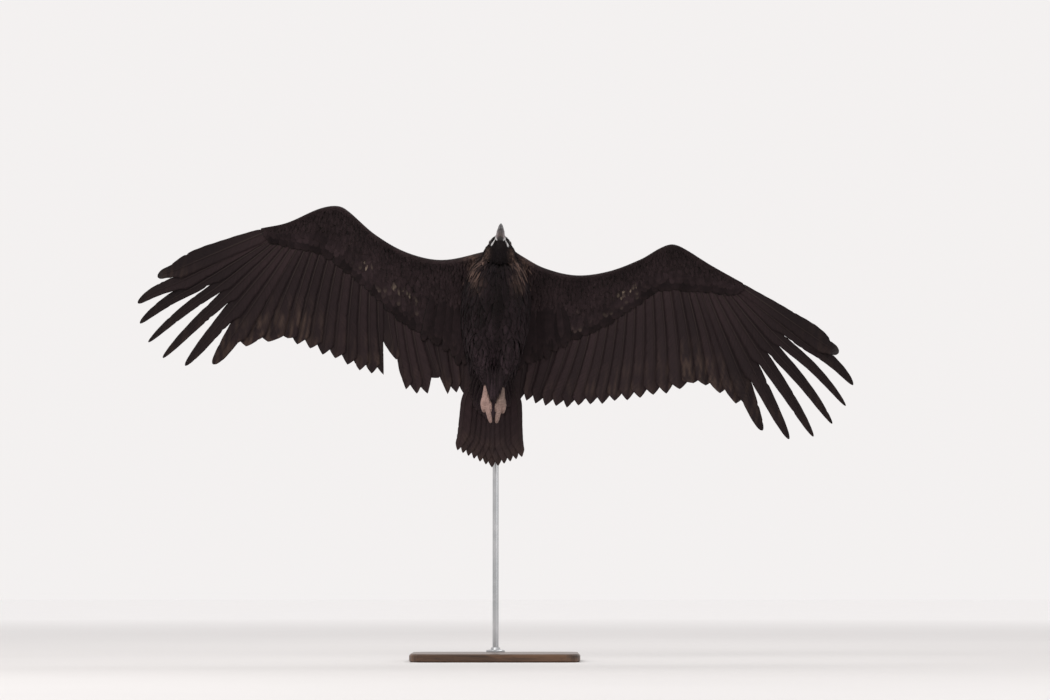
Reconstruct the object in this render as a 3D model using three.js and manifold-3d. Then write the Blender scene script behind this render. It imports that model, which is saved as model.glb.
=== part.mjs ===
// A cinereous (Eurasian black) vulture, life size, soaring with both wings spread, on a display stand.
// Millimetres, +Z up. The origin is the centre of the stand's underside.
//
// The bird is built in its own frame: x to its left, y towards its tail, z towards its back. It is then
// turned nose up, so that the belly faces -Y, and banked a little about its own back-to-belly line.

import * as THREE from "three";
import { mergeVertices } from "three/addons/utils/BufferGeometryUtils.js";
import Module from "manifold-3d";

const wasm = await Module();
wasm.setup();

// ---------------------------------------------------------------- driving dimensions

const NOSE_UP = 86; // degrees from level flight, so that the belly looks slightly down
const BANK = 3; // degrees, right wing up
const BODY_HEIGHT = 1215; // height of the bird's own origin above the floor
const GAP = 0.4; // clearance between touching pieces

const BASE_LENGTH = 600;
const BASE_WIDTH = 460;
const BASE_THICK = 28;
const BASE_CORNER = 60;
const BASE_EDGE = 5; // rounding of the base's top and bottom edges
const ROD_RADIUS = 11;
const ROD_BACK = 185; // distance of the upright behind the bird's origin
const ROD_BEND = 45;
const ROD_DEPTH_IN_BACK = 58;
const COLLAR_RADIUS = 34;
const COLLAR_HEIGHT = 16;

const PRIMARIES = 10; // counted from the outermost inwards
const FINGERS = 7; // primaries whose tips stand apart
const SECONDARIES = 13;
const TERTIALS = 3;
const FOREARM_FEATHERS = 9; // secondaries that the forearm's own pieces carry
const NOTCH = 24; // depth of the notches between feather tips in the trailing edge

const TAIL_FEATHERS = 12;
const TAIL_ROOT = 150;
const TAIL_REACH = 530; // of the longest feathers
const TAIL_WEDGE = 0.43; // how much shorter a feather is for each millimetre off the middle
const TAIL_SWAY = 14; // how far the tail's end swings to the left
const TAIL_NOTCH = 20;
const tailHalf = smooth([[150, 85], [280, 104], [420, 115], [500, 130]]);

const HEAD_START = { x: 3, y: -222, z: -8 };
const HEAD_PITCH = 30; // degrees that the head looks down
const HEAD_LENGTH = 84; // from the neck to the base of the bill
const EYE = { forward: 57, up: 13, out: 30.5, radius: 11 };

const primaryLength = smooth([[0, 500], [1, 630], [4, 725], [6, 650], [7, 540], [9, 475]]);
const slotStart = (n) => 370 + 11 * (n - 2) ** 2; // from a primary's root to where its tip comes free
const fingerBow = (n) => 0.06 - 0.012 * n; // how far a free tip curves forwards, for its length
const TIP_CROWDING = 1.17; // over 1, the inner feather tips lie closer together than the outer

// Each wing's outline, as distances [out from the body's middle, towards the tail].
const WINGS = {
  right: {
    side: -1,
    lead: [
      [40, -245], [200, -205], [330, -225], [450, -285], [560, -370], [600, -380], [660, -365],
      [770, -310], [880, -280], [1080, -205], [1150, -160], [1215, -100],
    ],
    lining: [[40, 60], [200, 45], [315, 10], [450, -110], [610, -230], [760, -260], [900, -260]],
    trail: [
      [90, 265], [220, 280], [300, 270], [400, 230], [480, 205], [570, 170], [660, 140], [760, 110],
    ],
    handEnd: [800, -275],
    wrist: [645, -330],
    elbow: [300, -60],
    shoulder: [70, -30],
    fan: [[0, 23], [9, 77]], // the primaries' headings, in degrees back from straight out
    showing: 0.94, // share of their length that the primaries show from below
    slots: { 0: 430, 1: 445 }, // slots that start elsewhere, where two tips lie over each other
    tips: [710, 100], // how far out the outermost secondary and the innermost tertial end
    shortened: { 7: 15, 8: 90, 12: 60 }, // worn or growing secondaries, by how much they fall short
    notches: { 7: 15, 8: 5, 9: 10, 17: 100, 18: 0 }, // depths that differ, as beside a moulted feather
    leans: { 17: 0.2 }, // borders that keep close to the outer of their two feathers
  },
  left: {
    side: 1,
    lead: [
      [40, -260], [80, -235], [165, -195], [280, -175], [395, -195], [510, -245], [580, -290],
      [620, -305], [660, -295], [770, -235], [1125, -60], [1185, -15], [1240, 60],
    ],
    lining: [
      [40, 65], [200, 50], [325, 10], [450, -75], [570, -170], [700, -175], [860, -160], [930, -130],
    ],
    trail: [[90, 280], [225, 300], [300, 295], [500, 260], [680, 215], [725, 190], [775, 190]],
    handEnd: [815, -195],
    wrist: [655, -265],
    elbow: [305, -45],
    shoulder: [70, -30],
    fan: [[0, 30], [6, 65], [9, 76]],
    showing: 1,
    slots: { 0: 480, 1: 320 },
    tips: [725, 100],
    shortened: {},
    notches: { 7: 20, 8: 10, 9: 10, 10: 10 },
    leans: {},
  },
};
const FINGER_LIFT = [58, 62, 54, 43, 31, 20, 10]; // how far each free tip bends up under load
const wingLevel = smooth([[40, 22], [90, 30], [160, 46], [300, 64], [600, 92], [900, 97], [1320, 122]]);
const wingBulge = smooth([[40, 30], [300, 31], [600, 26], [900, 8], [1300, 0]]);
const WING_CHORD = 560;
const fleshDepth = smooth([[40, 66], [150, 58], [300, 44], [450, 36], [600, 30], [760, 20], [880, 12]]);
const FLESH_END = 880; // how far out the fleshy part reaches
const FLESH_ROWS = [0, 0.06, 0.22, 0.55, 1]; // from the leading edge to the rear edge
const FOREARM_SLANT = 20;
const FLESH_REAR = 7; // thickness of the fleshy part at its rear edge
const VANE_ROOT = 5; // thickness of the flight feathers where they leave the coverts
const VANE_TIP = 1.6;

// Body sections: distance towards the tail, half width, rise to the back, drop to the belly, middle height.
const TRUNK = [
  [-186, 100, 70, 74, -2], [-160, 113, 82, 92, -1], [-120, 124, 92, 108, 0], [-70, 130, 99, 118, 0],
  [-10, 130, 101, 120, 0], [60, 123, 94, 109, 1], [120, 108, 80, 89, 3], [170, 93, 62, 69, 8],
  [215, 77, 42, 50, 16], [250, 60, 27, 36, 24], [285, 36, 13, 17, 32],
];
const BROAD_BACK = 0.8;
const NECK = [[-186, 100, 70, 74, -2], [-204, 89, 64, 64, -4], [-222, 66, 56, 54, -8]];
// Head sections along its own axis: distance forward, half width, rise, drop.
const HEAD = [
  [0, 60, 52, 48], [14, 57.5, 52, 48], [30, 54, 50, 46], [46, 48.5, 46, 43], [60, 40, 41, 38],
  [72, 29, 34, 33], [84, 18, 24, 25],
];
// Upper bill along the same axis: distance forward, middle height, half width, half depth, slope down.
const BILL_UPPER = [
  [84.5, 3, 14.5, 20, 0], [97, 4, 13.5, 19.5, 6], [110, 2.5, 12, 18, 18], [122, -2, 10, 16, 32],
  [131, -9, 7.5, 12.5, 50], [136, -18, 5.5, 8.5, 68], [138, -27, 3.6, 5, 82], [138, -34, 1.2, 1.8, 88],
];
const BILL_LOWER = [
  [84.5, -20.6, 12, 4, 0], [98, -20.8, 10.5, 4.2, 0], [110, -20.8, 8.5, 4, -2], [119, -20.9, 5.5, 3, -4],
  [124, -21, 2.2, 1.2, -6],
];

const THIGH = [
  { at: [56, 20, -34], radius: 12 }, { at: [59, 62, -58], radius: 36 },
  { at: [56, 112, -74], radius: 43 }, { at: [44, 164, -77], radius: 34 },
  { at: [31, 204, -75], radius: 23 }, { at: [26, 232, -74], radius: 14 },
];
const TARSUS = [
  { at: [26, 233, -74], radius: 11 }, { at: [27, 254, -76], radius: 12 },
  { at: [27, 276, -79], radius: 15 },
];
const TOE_RADIUS = 9;
const legSway = smooth([[60, 0], [240, 9], [290, 9], [370, 14]]); // both legs trail a little to the left

// ---------------------------------------------------------------- helpers

/** A smooth function through the points [x, y], level beyond both ends. */
function smooth(points) {
  const slope = points.map((point, i) => {
    const before = points[Math.max(i - 1, 0)];
    const after = points[Math.min(i + 1, points.length - 1)];
    return (after[1] - before[1]) / (after[0] - before[0]);
  });
  return (x) => {
    if (x <= points[0][0]) return points[0][1];
    if (x >= points.at(-1)[0]) return points.at(-1)[1];
    const i = points.findIndex((point) => point[0] > x) - 1;
    const width = points[i + 1][0] - points[i][0];
    const t = (x - points[i][0]) / width;
    const s = 1 - t;
    return (
      s * s * (1 + 2 * t) * points[i][1] +
      t * t * (3 - 2 * t) * points[i + 1][1] +
      width * t * s * (s * slope[i] - t * slope[i + 1])
    );
  };
}

const radians = THREE.MathUtils.degToRad;
const lerp = THREE.MathUtils.lerp;
const mid = (a, b, t = 0.5) => [lerp(a[0], b[0], t), lerp(a[1], b[1], t)];
const heading = (degrees) => [Math.cos(radians(degrees)), Math.sin(radians(degrees))];
const along = (from, direction, reach) => [from[0] + direction[0] * reach, from[1] + direction[1] * reach];

/** The point a short way from a towards b. */
function step(a, b, reach) {
  const length = Math.hypot(b[0] - a[0], b[1] - a[1]);
  return mid(a, b, reach / length);
}

/** A mesh geometry from vertices and triangles, turned so that its faces point out. */
function bodyOf(vertices, triangles) {
  const corner = (i) => vertices[i];
  const volume = triangles.reduce((sum, [a, b, c]) => {
    return sum + corner(a).dot(corner(b).clone().cross(corner(c)));
  }, 0);
  const faces = volume > 0 ? triangles : triangles.map(([a, b, c]) => [a, c, b]);
  const geometry = new THREE.BufferGeometry();
  geometry.setFromPoints(vertices);
  geometry.setIndex(faces.flat());
  return geometry;
}

/** A closed solid through rings of equally many points, with a fan of faces at each end. */
function loft(rings) {
  const count = rings[0].length;
  const vertices = rings.flat();
  const triangles = [];
  for (let r = 0; r + 1 < rings.length; r++) {
    for (let i = 0; i < count; i++) {
      const a = r * count + i;
      const b = r * count + ((i + 1) % count);
      triangles.push([a, b, a + count], [b, b + count, a + count]);
    }
  }
  for (const [ring, flip] of [[0, true], [rings.length - 1, false]]) {
    const middle = vertices.length;
    const centre = new THREE.Vector3();
    rings[ring].forEach((point) => centre.addScaledVector(point, 1 / count));
    vertices.push(centre);
    for (let i = 0; i < count; i++) {
      const a = ring * count + i;
      const b = ring * count + ((i + 1) % count);
      triangles.push(flip ? [b, a, middle] : [a, b, middle]);
    }
  }
  return bodyOf(vertices, triangles);
}

/** A thin closed solid over a grid of plan points, with a height and a thickness at each. */
function plate(columns, height, thickness) {
  const rows = columns[0].length;
  const vertices = [];
  for (const layer of [1, -1]) {
    columns.forEach((column, c) => {
      column.forEach(([x, y], r) => {
        const half = thickness(c / (columns.length - 1), r / (rows - 1), x, y) / 2;
        vertices.push(new THREE.Vector3(x, y, height(x, y, c, r) + layer * half));
      });
    });
  }
  const under = columns.length * rows;
  const triangles = [];
  const quad = (a, b, c, d) => triangles.push([a, b, c], [a, c, d]);
  for (let c = 0; c + 1 < columns.length; c++) {
    for (let r = 0; r + 1 < rows; r++) {
      const a = c * rows + r;
      quad(a, a + rows, a + rows + 1, a + 1);
      quad(under + a, under + a + 1, under + a + rows + 1, under + a + rows);
    }
  }
  const rim = [];
  for (let c = 0; c < columns.length; c++) rim.push(c * rows);
  for (let r = 1; r < rows; r++) rim.push((columns.length - 1) * rows + r);
  for (let c = columns.length - 2; c >= 0; c--) rim.push(c * rows + rows - 1);
  for (let r = rows - 2; r > 0; r--) rim.push(r);
  rim.forEach((a, i) => {
    const b = rim[(i + 1) % rim.length];
    quad(b, a, under + a, under + b);
  });
  return bodyOf(vertices, triangles);
}

function solidOf(geometry) {
  const bare = geometry.clone();
  bare.deleteAttribute("normal");
  bare.deleteAttribute("uv");
  const merged = mergeVertices(bare, 1e-3);
  const vertProperties = new Float32Array(merged.attributes.position.array);
  const triVerts = new Uint32Array(merged.index.array);
  return new wasm.Manifold(new wasm.Mesh({ numProp: 3, vertProperties, triVerts }));
}

function geometryOf(solid) {
  const mesh = solid.getMesh();
  const geometry = new THREE.BufferGeometry();
  geometry.setAttribute("position", new THREE.BufferAttribute(new Float32Array(mesh.vertProperties), 3));
  geometry.setIndex(new THREE.BufferAttribute(new Uint32Array(mesh.triVerts), 1));
  return geometry;
}

const carve = (geometry, ...cutters) =>
  geometryOf(cutters.reduce((solid, cutter) => solid.subtract(solidOf(cutter)), solidOf(geometry)));

const join = (...geometries) =>
  geometryOf(geometries.map(solidOf).reduce((whole, next) => whole.add(next)));

/** A ring of an egg-shaped section across a sloping spine; a broad of less than 1 squares its back. */
function eggRing({ x = 0, y, z, pitch, half, rise, drop, extra = 0, broad = 1, sides = 20 }) {
  const up = new THREE.Vector3(0, -Math.sin(radians(pitch)), Math.cos(radians(pitch)));
  const ring = [];
  for (let i = 0; i < sides; i++) {
    const turn = (i / sides) * Math.PI * 2;
    const isBack = Math.sin(turn) > 0;
    const width = isBack ? Math.sign(Math.cos(turn)) * Math.abs(Math.cos(turn)) ** broad : Math.cos(turn);
    const height = isBack ? Math.sin(turn) ** broad * (rise + extra) : Math.sin(turn) * (drop + extra);
    ring.push(new THREE.Vector3(x + width * (half + extra), y, z).addScaledVector(up, height));
  }
  return ring;
}

/** A tube of changing thickness through round stations. */
function limb(stations, side, sides, steps, extra = 0) {
  const placed = ([x, y, z]) => new THREE.Vector3(side * x + legSway(y), y, z);
  const curve = new THREE.CatmullRomCurve3(stations.map(({ at }) => placed(at)));
  const thick = smooth(stations.map(({ radius }, i) => [i / (stations.length - 1), radius]));
  const across = new THREE.Vector3(1, 0, 0);
  const rings = [];
  for (let i = 0; i <= steps; i++) {
    const t = i / steps;
    const centre = curve.getPoint(t);
    const normal = across.clone().cross(curve.getTangent(t)).normalize();
    const flank = curve.getTangent(t).cross(normal).normalize();
    const ring = [];
    for (let k = 0; k < sides; k++) {
      const turn = (k / sides) * Math.PI * 2;
      const reach = thick(t) + extra;
      const point = centre.clone().addScaledVector(flank, Math.cos(turn) * reach);
      ring.push(point.addScaledVector(normal, Math.sin(turn) * reach));
    }
    rings.push(ring);
  }
  return loft(rings);
}

// ---------------------------------------------------------------- the bird's parts

const bird = new THREE.Group();
bird.position.z = BODY_HEIGHT;
bird.rotation.x = radians(-NOSE_UP);
const banked = new THREE.Group();
banked.rotation.z = radians(BANK);
bird.add(banked);
const stand = new THREE.Group();

const PLUMAGE = { color: 0x2b2320, roughness: 0.8, metalness: 0 };
const QUILLS = { color: 0x3a302b, roughness: 0.7, metalness: 0 };
const DOWN = { color: 0x8a7a6c, roughness: 0.9, metalness: 0 };
const HORN = { color: 0x2a2624, roughness: 0.4, metalness: 0 };
const LEG_SKIN = { color: 0xc9b3a4, roughness: 0.6, metalness: 0 };
const EYE_GLOSS = { color: 0x2a1a12, roughness: 0.1, metalness: 0 };
const STEEL = { color: 0x8d9094, roughness: 0.35, metalness: 0.9 };
const STAINED_WOOD = { color: 0x3b2a20, roughness: 0.5, metalness: 0 };

function place(group, name, geometry, finish) {
  const mesh = new THREE.Mesh(geometry, new THREE.MeshStandardMaterial(finish));
  mesh.name = name;
  group.add(mesh);
}

/** Trunk or neck: egg-shaped sections along the body, smoothed between the given ones. */
function torso(sections, steps, { from, to, extra = 0 }) {
  const column = (k) => smooth(sections.map((section) => [section[0], section[k]]));
  const [half, rise, drop, middle] = [1, 2, 3, 4].map(column);
  const rings = [];
  for (let i = 0; i <= steps; i++) {
    const y = lerp(from, to, i / steps);
    const size = { half: half(y), rise: rise(y), drop: drop(y), broad: BROAD_BACK };
    rings.push(eggRing({ y, z: middle(y), pitch: 0, extra, ...size }));
  }
  return loft(rings);
}

/** A point of the head, given forward along its axis, up from it and out to the side. */
function headPoint(forward, up, out) {
  const turn = radians(HEAD_PITCH);
  return new THREE.Vector3(
    HEAD_START.x + out,
    HEAD_START.y - Math.cos(turn) * forward - Math.sin(turn) * up,
    HEAD_START.z - Math.sin(turn) * forward + Math.cos(turn) * up,
  );
}

/** A ring of points moved away from its middle. */
function widened(ring, extra) {
  const centre = new THREE.Vector3();
  ring.forEach((point) => centre.addScaledVector(point, 1 / ring.length));
  return ring.map((point) => point.clone().add(point.clone().sub(centre).setLength(extra)));
}

function headSolid(extra = 0) {
  const column = (k) => smooth(HEAD.map((section) => [section[0], section[k]]));
  const [half, rise, drop] = [1, 2, 3].map(column);
  const steps = 10;
  const rings = [];
  for (let i = 0; i <= steps; i++) {
    const forward = (i / steps) * (HEAD_LENGTH - GAP);
    const size = { half: half(forward), rise: rise(forward), drop: drop(forward), extra };
    rings.push(eggRing({ ...headPoint(forward, 0, 0), pitch: HEAD_PITCH, ...size }));
  }
  return loft(rings);
}

function eyeBall(side, extra = 0) {
  const ball = new THREE.SphereGeometry(EYE.radius + extra, 10, 7);
  const centre = headPoint(EYE.forward, EYE.up, side * EYE.out);
  return ball.translate(centre.x, centre.y, centre.z);
}

function billPart(sections, extra = 0) {
  const rings = sections.map(([forward, up, half, depth, slope]) => {
    const middle = { ...headPoint(forward, up, 0), pitch: HEAD_PITCH + slope };
    return eggRing({ ...middle, half, rise: depth, drop: depth, extra, sides: 12 });
  });
  return loft(rings);
}

/** The wedge tail, its end stepped by the tips of the feathers. */
function tailSolid() {
  const columns = [];
  const rows = 5;
  for (let k = 0; k <= 2 * TAIL_FEATHERS; k++) {
    const across = k / TAIL_FEATHERS - 1;
    const isNotch = k % 2 === 0 && k > 0 && k < 2 * TAIL_FEATHERS;
    const reach = TAIL_REACH - TAIL_WEDGE * Math.abs(across * 128 - TAIL_SWAY) - (isNotch ? TAIL_NOTCH : 0);
    columns.push(
      Array.from({ length: rows }, (_, r) => {
        const y = lerp(TAIL_ROOT, reach, r / (rows - 1));
        const sway = (0.3 * TAIL_SWAY * (y - TAIL_ROOT)) / (TAIL_REACH - TAIL_ROOT);
        return [across * tailHalf(y) + sway, y];
      }),
    );
  }
  const height = (x, y) => lerp(40, 26, (y - TAIL_ROOT) / (TAIL_REACH - TAIL_ROOT)) - 0.0007 * x * x;
  return plate(columns, height, (u, v) => lerp(12, VANE_TIP, v));
}

/** One wing's feather lines: where each flight feather starts, ends and borders on the next. */
function wingPlan(wing) {
  const trail = smooth(wing.trail);
  const fan = smooth(wing.fan);
  const feathers = [];
  for (let n = 0; n < PRIMARIES; n++) {
    const root = mid(wing.handEnd, wing.wrist, n / (PRIMARIES - 1));
    feathers.push({ root, tip: along(root, heading(fan(n)), primaryLength(n) * wing.showing) });
  }
  const inner = SECONDARIES + TERTIALS;
  const [outermost, innermost] = wing.tips;
  for (let n = 0; n < inner; n++) {
    const isTertial = n >= SECONDARIES;
    const root = isTertial
      ? mid(wing.elbow, wing.shoulder, (n - SECONDARIES + 1) / (TERTIALS + 1))
      : mid(wing.wrist, wing.elbow, (n + 0.8) / SECONDARIES);
    const x = lerp(innermost, outermost, (1 - n / (inner - 1)) ** TIP_CROWDING);
    feathers.push({ root, tip: [x, trail(x) - (wing.shortened[n] ?? 3 * Math.sin(2.4 * n))] });
  }
  const borders = feathers.map((feather, n) => {
    const next = feathers[n + 1];
    if (!next) return { root: wing.shoulder, end: [feather.tip[0] - 18, feather.tip[1] - NOTCH] };
    const root = mid(feather.root, next.root);
    if (n < FINGERS) {
      const direction = heading((fan(n) + fan(n + 1)) / 2);
      return { root, end: along(root, direction, wing.slots[n] ?? slotStart(n) * wing.showing) };
    }
    const between = mid(feather.tip, next.tip, wing.leans[n] ?? 0.5);
    return { root, end: step(between, root, wing.notches[n] ?? NOTCH) };
  });
  return { feathers, borders };
}

/** Where a feather line leaves the fleshy part of the wing. */
function liningPoint(lining, root, end) {
  let near = 0;
  let far = 1;
  for (let i = 0; i < 24; i++) {
    const t = (near + far) / 2;
    const [x, y] = mid(root, end, t);
    if (y < lining(x)) near = t;
    else far = t;
  }
  return mid(root, end, near);
}

/** The lines of a wing in order from its tip to the body: a border, a feather's middle, a border, ... */
function wingLines(wing) {
  const { feathers, borders } = wingPlan(wing);
  const lead = smooth(wing.lead);
  const lining = smooth(wing.lining);
  const edgeEnd = borders[0].end[0] - 6;
  const lines = [{ start: [FLESH_END, lead(FLESH_END)], end: [edgeEnd, lead(edgeEnd)] }];
  feathers.forEach((feather, n) => {
    const before = lines.at(-1);
    const after = { start: liningPoint(lining, borders[n].root, borders[n].end), end: borders[n].end };
    const end = n < FINGERS ? mid(before.end, after.end) : feather.tip;
    lines.push({ start: mid(before.start, after.start), end, tip: feather.tip }, after);
  });
  return lines;
}

function wingHeight(wing) {
  const lead = smooth(wing.lead);
  return (x, y) => {
    const c = THREE.MathUtils.clamp((y - lead(x)) / WING_CHORD, 0, 1);
    return wingLevel(x) + wingBulge(x) * 4 * c ** 0.75 * (1 - c);
  };
}

/** The rows of a sheet of flight feathers between two feather lines. */
function featherSheet(wing, lines, first, last, rows) {
  const lead = smooth(wing.lead);
  return lines.slice(first, last + 1).map((line, i, all) => {
    const inward = i === 0 ? all[1] : all[all.length - 2];
    const isEdge = i === 0 || i === all.length - 1;
    const start = isEdge ? step(line.start, inward.start, GAP / 2) : line.start;
    const end = isEdge ? step(line.end, inward.end, GAP / 2) : line.end;
    const from = step(start, end, 2 * GAP);
    const column = Array.from({ length: rows }, (_, r) => mid(from, end, r / (rows - 1)));
    const isWingTip = first + i === 0;
    return isWingTip ? column.map(([x]) => [x, lead(x)]) : column;
  });
}

/** The fleshy leading part of a wing, between two feather lines. */
function fleshSheet(wing, lines, first, last) {
  const edge = [];
  for (let k = first; k <= last; k += 2) {
    const isWingTip = k === 0;
    const rear = isWingTip ? mid(lines[0].start, lines[2].start, 0.15) : lines[k].start;
    edge.push({ rear, front: frontPoint(wing, isWingTip ? FLESH_END - 14 : rear[0]) });
  }
  return edge.map(({ rear, front }, i) => {
    const isEdge = i === 0 || i === edge.length - 1;
    const inward = i === 0 ? edge[1] : edge[edge.length - 2];
    const from = isEdge ? step(front, inward.front, GAP / 2) : front;
    const to = isEdge ? step(rear, inward.rear, GAP / 2) : rear;
    return FLESH_ROWS.map((t) => mid(from, to, t));
  });
}

/** The point of the leading edge above a point of the lining, a little further out along the forearm. */
function frontPoint(wing, x) {
  const [wristX] = wing.wrist;
  const [shoulderX] = wing.shoulder;
  const t = THREE.MathUtils.clamp((x - shoulderX) / (wristX - shoulderX), 0, 1);
  const out = x + FOREARM_SLANT * Math.sin(Math.PI * t);
  return [out, smooth(wing.lead)(out)];
}

const fleshThickness = (u, v, x) => {
  const profile = v < 0.2 ? lerp(0.34, 1, Math.sqrt(v / 0.2)) : 1;
  return lerp(fleshDepth(x) * profile, FLESH_REAR, THREE.MathUtils.smoothstep(v, 0.2, 1));
};

/** A free wing tip feather: a tapering blade that bends up towards its end. */
function fingerSolid(wing, lines, n, height) {
  const before = lines[2 * n].end;
  const middle = lines[2 * n + 1];
  const after = lines[2 * n + 2].end;
  const length = Math.hypot(middle.tip[0] - middle.end[0], middle.tip[1] - middle.end[1]);
  const direction = [(middle.tip[0] - middle.end[0]) / length, (middle.tip[1] - middle.end[1]) / length];
  const normal = [-direction[1], direction[0]];
  const offset = (point) =>
    (point[0] - middle.end[0]) * normal[0] + (point[1] - middle.end[1]) * normal[1];
  const shift = (point) =>
    (point[0] - middle.end[0]) * direction[0] + (point[1] - middle.end[1]) * direction[1];
  const steps = [0, 0.22, 0.44, 0.64, 0.82, 0.94, 1];
  const bases = [step(before, middle.end, 2 * GAP), middle.end, step(after, middle.end, 2 * GAP)];
  const columns = bases.map((base) => {
    const across = offset(base);
    const start = shift(base) + 3 * GAP;
    return steps.map((t) => {
      const taper = (1 - 0.42 * t) * Math.sqrt(1 - t ** 5 * 0.985);
      const reach = lerp(start, length, t);
      const bow = -fingerBow(n) * length * Math.sin(Math.PI * t);
      return along(along(middle.end, direction, reach), normal, across * taper + bow);
    });
  });
  const lift = (x, y, c, r) => height(x, y) + FINGER_LIFT[n] * steps[r] ** 2;
  return plate(columns, lift, (u, v) => lerp(3, VANE_TIP, v));
}

const mirrored = (columns, side) => columns.map((column) => column.map(([x, y]) => [side * x, y]));

function buildWing(label, wing, cutters) {
  const lines = wingLines(wing);
  const level = wingHeight(wing);
  const height = (x, y) => level(Math.abs(x), y);
  const thickness = (u, v, x) => fleshThickness(u, v, Math.abs(x));
  const lastLine = lines.length - 1;
  const handLine = 2 * PRIMARIES;
  const elbowLine = 2 * (PRIMARIES + FOREARM_FEATHERS);

  const flesh = [
    ["hand", 0, handLine],
    ["forearm", handLine, elbowLine],
    ["upper_arm", elbowLine, lastLine],
  ];
  for (const [part, first, last] of flesh) {
    const solid = plate(mirrored(fleshSheet(wing, lines, first, last), wing.side), height, thickness);
    place(banked, `${part}_${label}`, part === "upper_arm" ? carve(solid, ...cutters) : solid, PLUMAGE);
  }
  const sheets = [
    ["primaries", 0, handLine],
    ["secondaries", handLine, elbowLine],
    ["tertials", elbowLine, lastLine],
  ];
  for (const [part, first, last] of sheets) {
    const rows = part === "primaries" ? 6 : 4;
    const columns = mirrored(featherSheet(wing, lines, first, last, rows), wing.side);
    const solid = plate(columns, height, (u, v) => lerp(VANE_ROOT, VANE_TIP, v));
    place(banked, `${part}_${label}`, part === "tertials" ? carve(solid, ...cutters) : solid, QUILLS);
  }
  for (let n = 0; n < FINGERS; n++) {
    const right = fingerSolid(wing, lines, n, (x, y) => level(x, y));
    const geometry = wing.side > 0 ? right : flipped(right);
    place(banked, `finger_${n + 1}_${label}`, geometry, QUILLS);
  }
}

/** The mirror image of a solid across the body's middle plane. */
function flipped(geometry) {
  const position = geometry.attributes.position;
  const swap = new THREE.Vector3(-1, 1, 1);
  const vertices = [];
  for (let i = 0; i < position.count; i++) {
    vertices.push(new THREE.Vector3().fromBufferAttribute(position, i).multiply(swap));
  }
  const index = Array.from(geometry.index.array);
  const triangles = [];
  for (let i = 0; i < index.length; i += 3) triangles.push([index[i], index[i + 1], index[i + 2]]);
  return bodyOf(vertices, triangles);
}

/** A trailing foot: three toes folded together towards the tail, the hind toe along the tarsus. */
function footSolid(side) {
  const toe = (points) => limb(points.map(([x, y, z, radius]) => ({ at: [x, y, z], radius })), side, 7, 5);
  const palm = toe([[27, 276, -79, 14], [27, 288, -81, 19], [26, 302, -82, 16], [25, 314, -80, 9]]);
  const middle = toe([
    [26, 296, -84, 11], [20, 322, -88, TOE_RADIUS + 1], [14, 346, -83, TOE_RADIUS], [11, 362, -70, 7],
    [10, 360, -54, 2.5],
  ]);
  const inner = toe([
    [17, 290, -82, 9], [13, 306, -87, TOE_RADIUS], [12, 320, -82, 8], [12, 326, -70, 6], [12, 322, -58, 2],
  ]);
  const outer = toe([
    [36, 288, -82, 9], [38, 306, -86, TOE_RADIUS], [34, 322, -80, 8], [33, 328, -68, 6], [32, 323, -56, 2],
  ]);
  const hind = toe([[27, 290, -72, 9], [27, 304, -62, 8], [27, 300, -50, 6], [27, 290, -44, 2]]);
  return join(palm, middle, inner, outer, hind);
}

function buildBody() {
  const rod = socketTool();
  const [front, rear] = [TRUNK[0][0], TRUNK.at(-1)[0]];
  const trunk = torso(TRUNK, 18, { from: front + GAP / 2, to: rear });
  const trunkCutter = torso(TRUNK, 18, { from: front - 1, to: rear + 1, extra: GAP });
  place(banked, "trunk", carve(trunk, rod), PLUMAGE);

  const column = (k) => smooth(NECK.map((section) => [-section[0], section[k]]));
  const [half, rise, drop, middle] = [1, 2, 3, 4].map(column);
  const rings = [];
  const steps = 6;
  for (let i = 0; i <= steps; i++) {
    const t = i / steps;
    const y = lerp(front - GAP / 2, HEAD_START.y + GAP, t);
    const size = { half: half(-y), rise: rise(-y), drop: drop(-y) };
    const turn = { x: HEAD_START.x * t, pitch: HEAD_PITCH * t, broad: lerp(BROAD_BACK, 1, t) };
    rings.push(eggRing({ y, z: middle(-y), ...turn, ...size }));
  }
  place(banked, "neck", loft(rings), DOWN);
  const neckCutter = loft(rings.map((ring) => widened(ring, GAP)));

  place(banked, "head", carve(headSolid(), eyeBall(1, GAP), eyeBall(-1, GAP)), DOWN);
  const headCutter = headSolid(GAP);
  place(banked, "eye_left", eyeBall(1), EYE_GLOSS);
  place(banked, "eye_right", eyeBall(-1), EYE_GLOSS);
  place(banked, "bill_upper", billPart(BILL_UPPER), HORN);
  place(banked, "bill_lower", carve(billPart(BILL_LOWER), billPart(BILL_UPPER, GAP)), HORN);
  place(banked, "tail", carve(tailSolid(), trunkCutter), QUILLS);

  for (const [label, side] of [["left", 1], ["right", -1]]) {
    const thigh = (extra) => limb(THIGH, side, 14, 9, extra);
    const tarsus = (extra) => limb(TARSUS, side, 10, 4, extra);
    place(banked, `thigh_${label}`, carve(thigh(0), trunkCutter), PLUMAGE);
    place(banked, `tarsus_${label}`, carve(tarsus(0), thigh(GAP)), LEG_SKIN);
    place(banked, `foot_${label}`, carve(footSolid(side), tarsus(GAP)), LEG_SKIN);
  }
  buildWing("right", WINGS.right, [trunkCutter, neckCutter, headCutter]);
  buildWing("left", WINGS.left, [trunkCutter, neckCutter, headCutter]);
}

// ---------------------------------------------------------------- the stand

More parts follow.
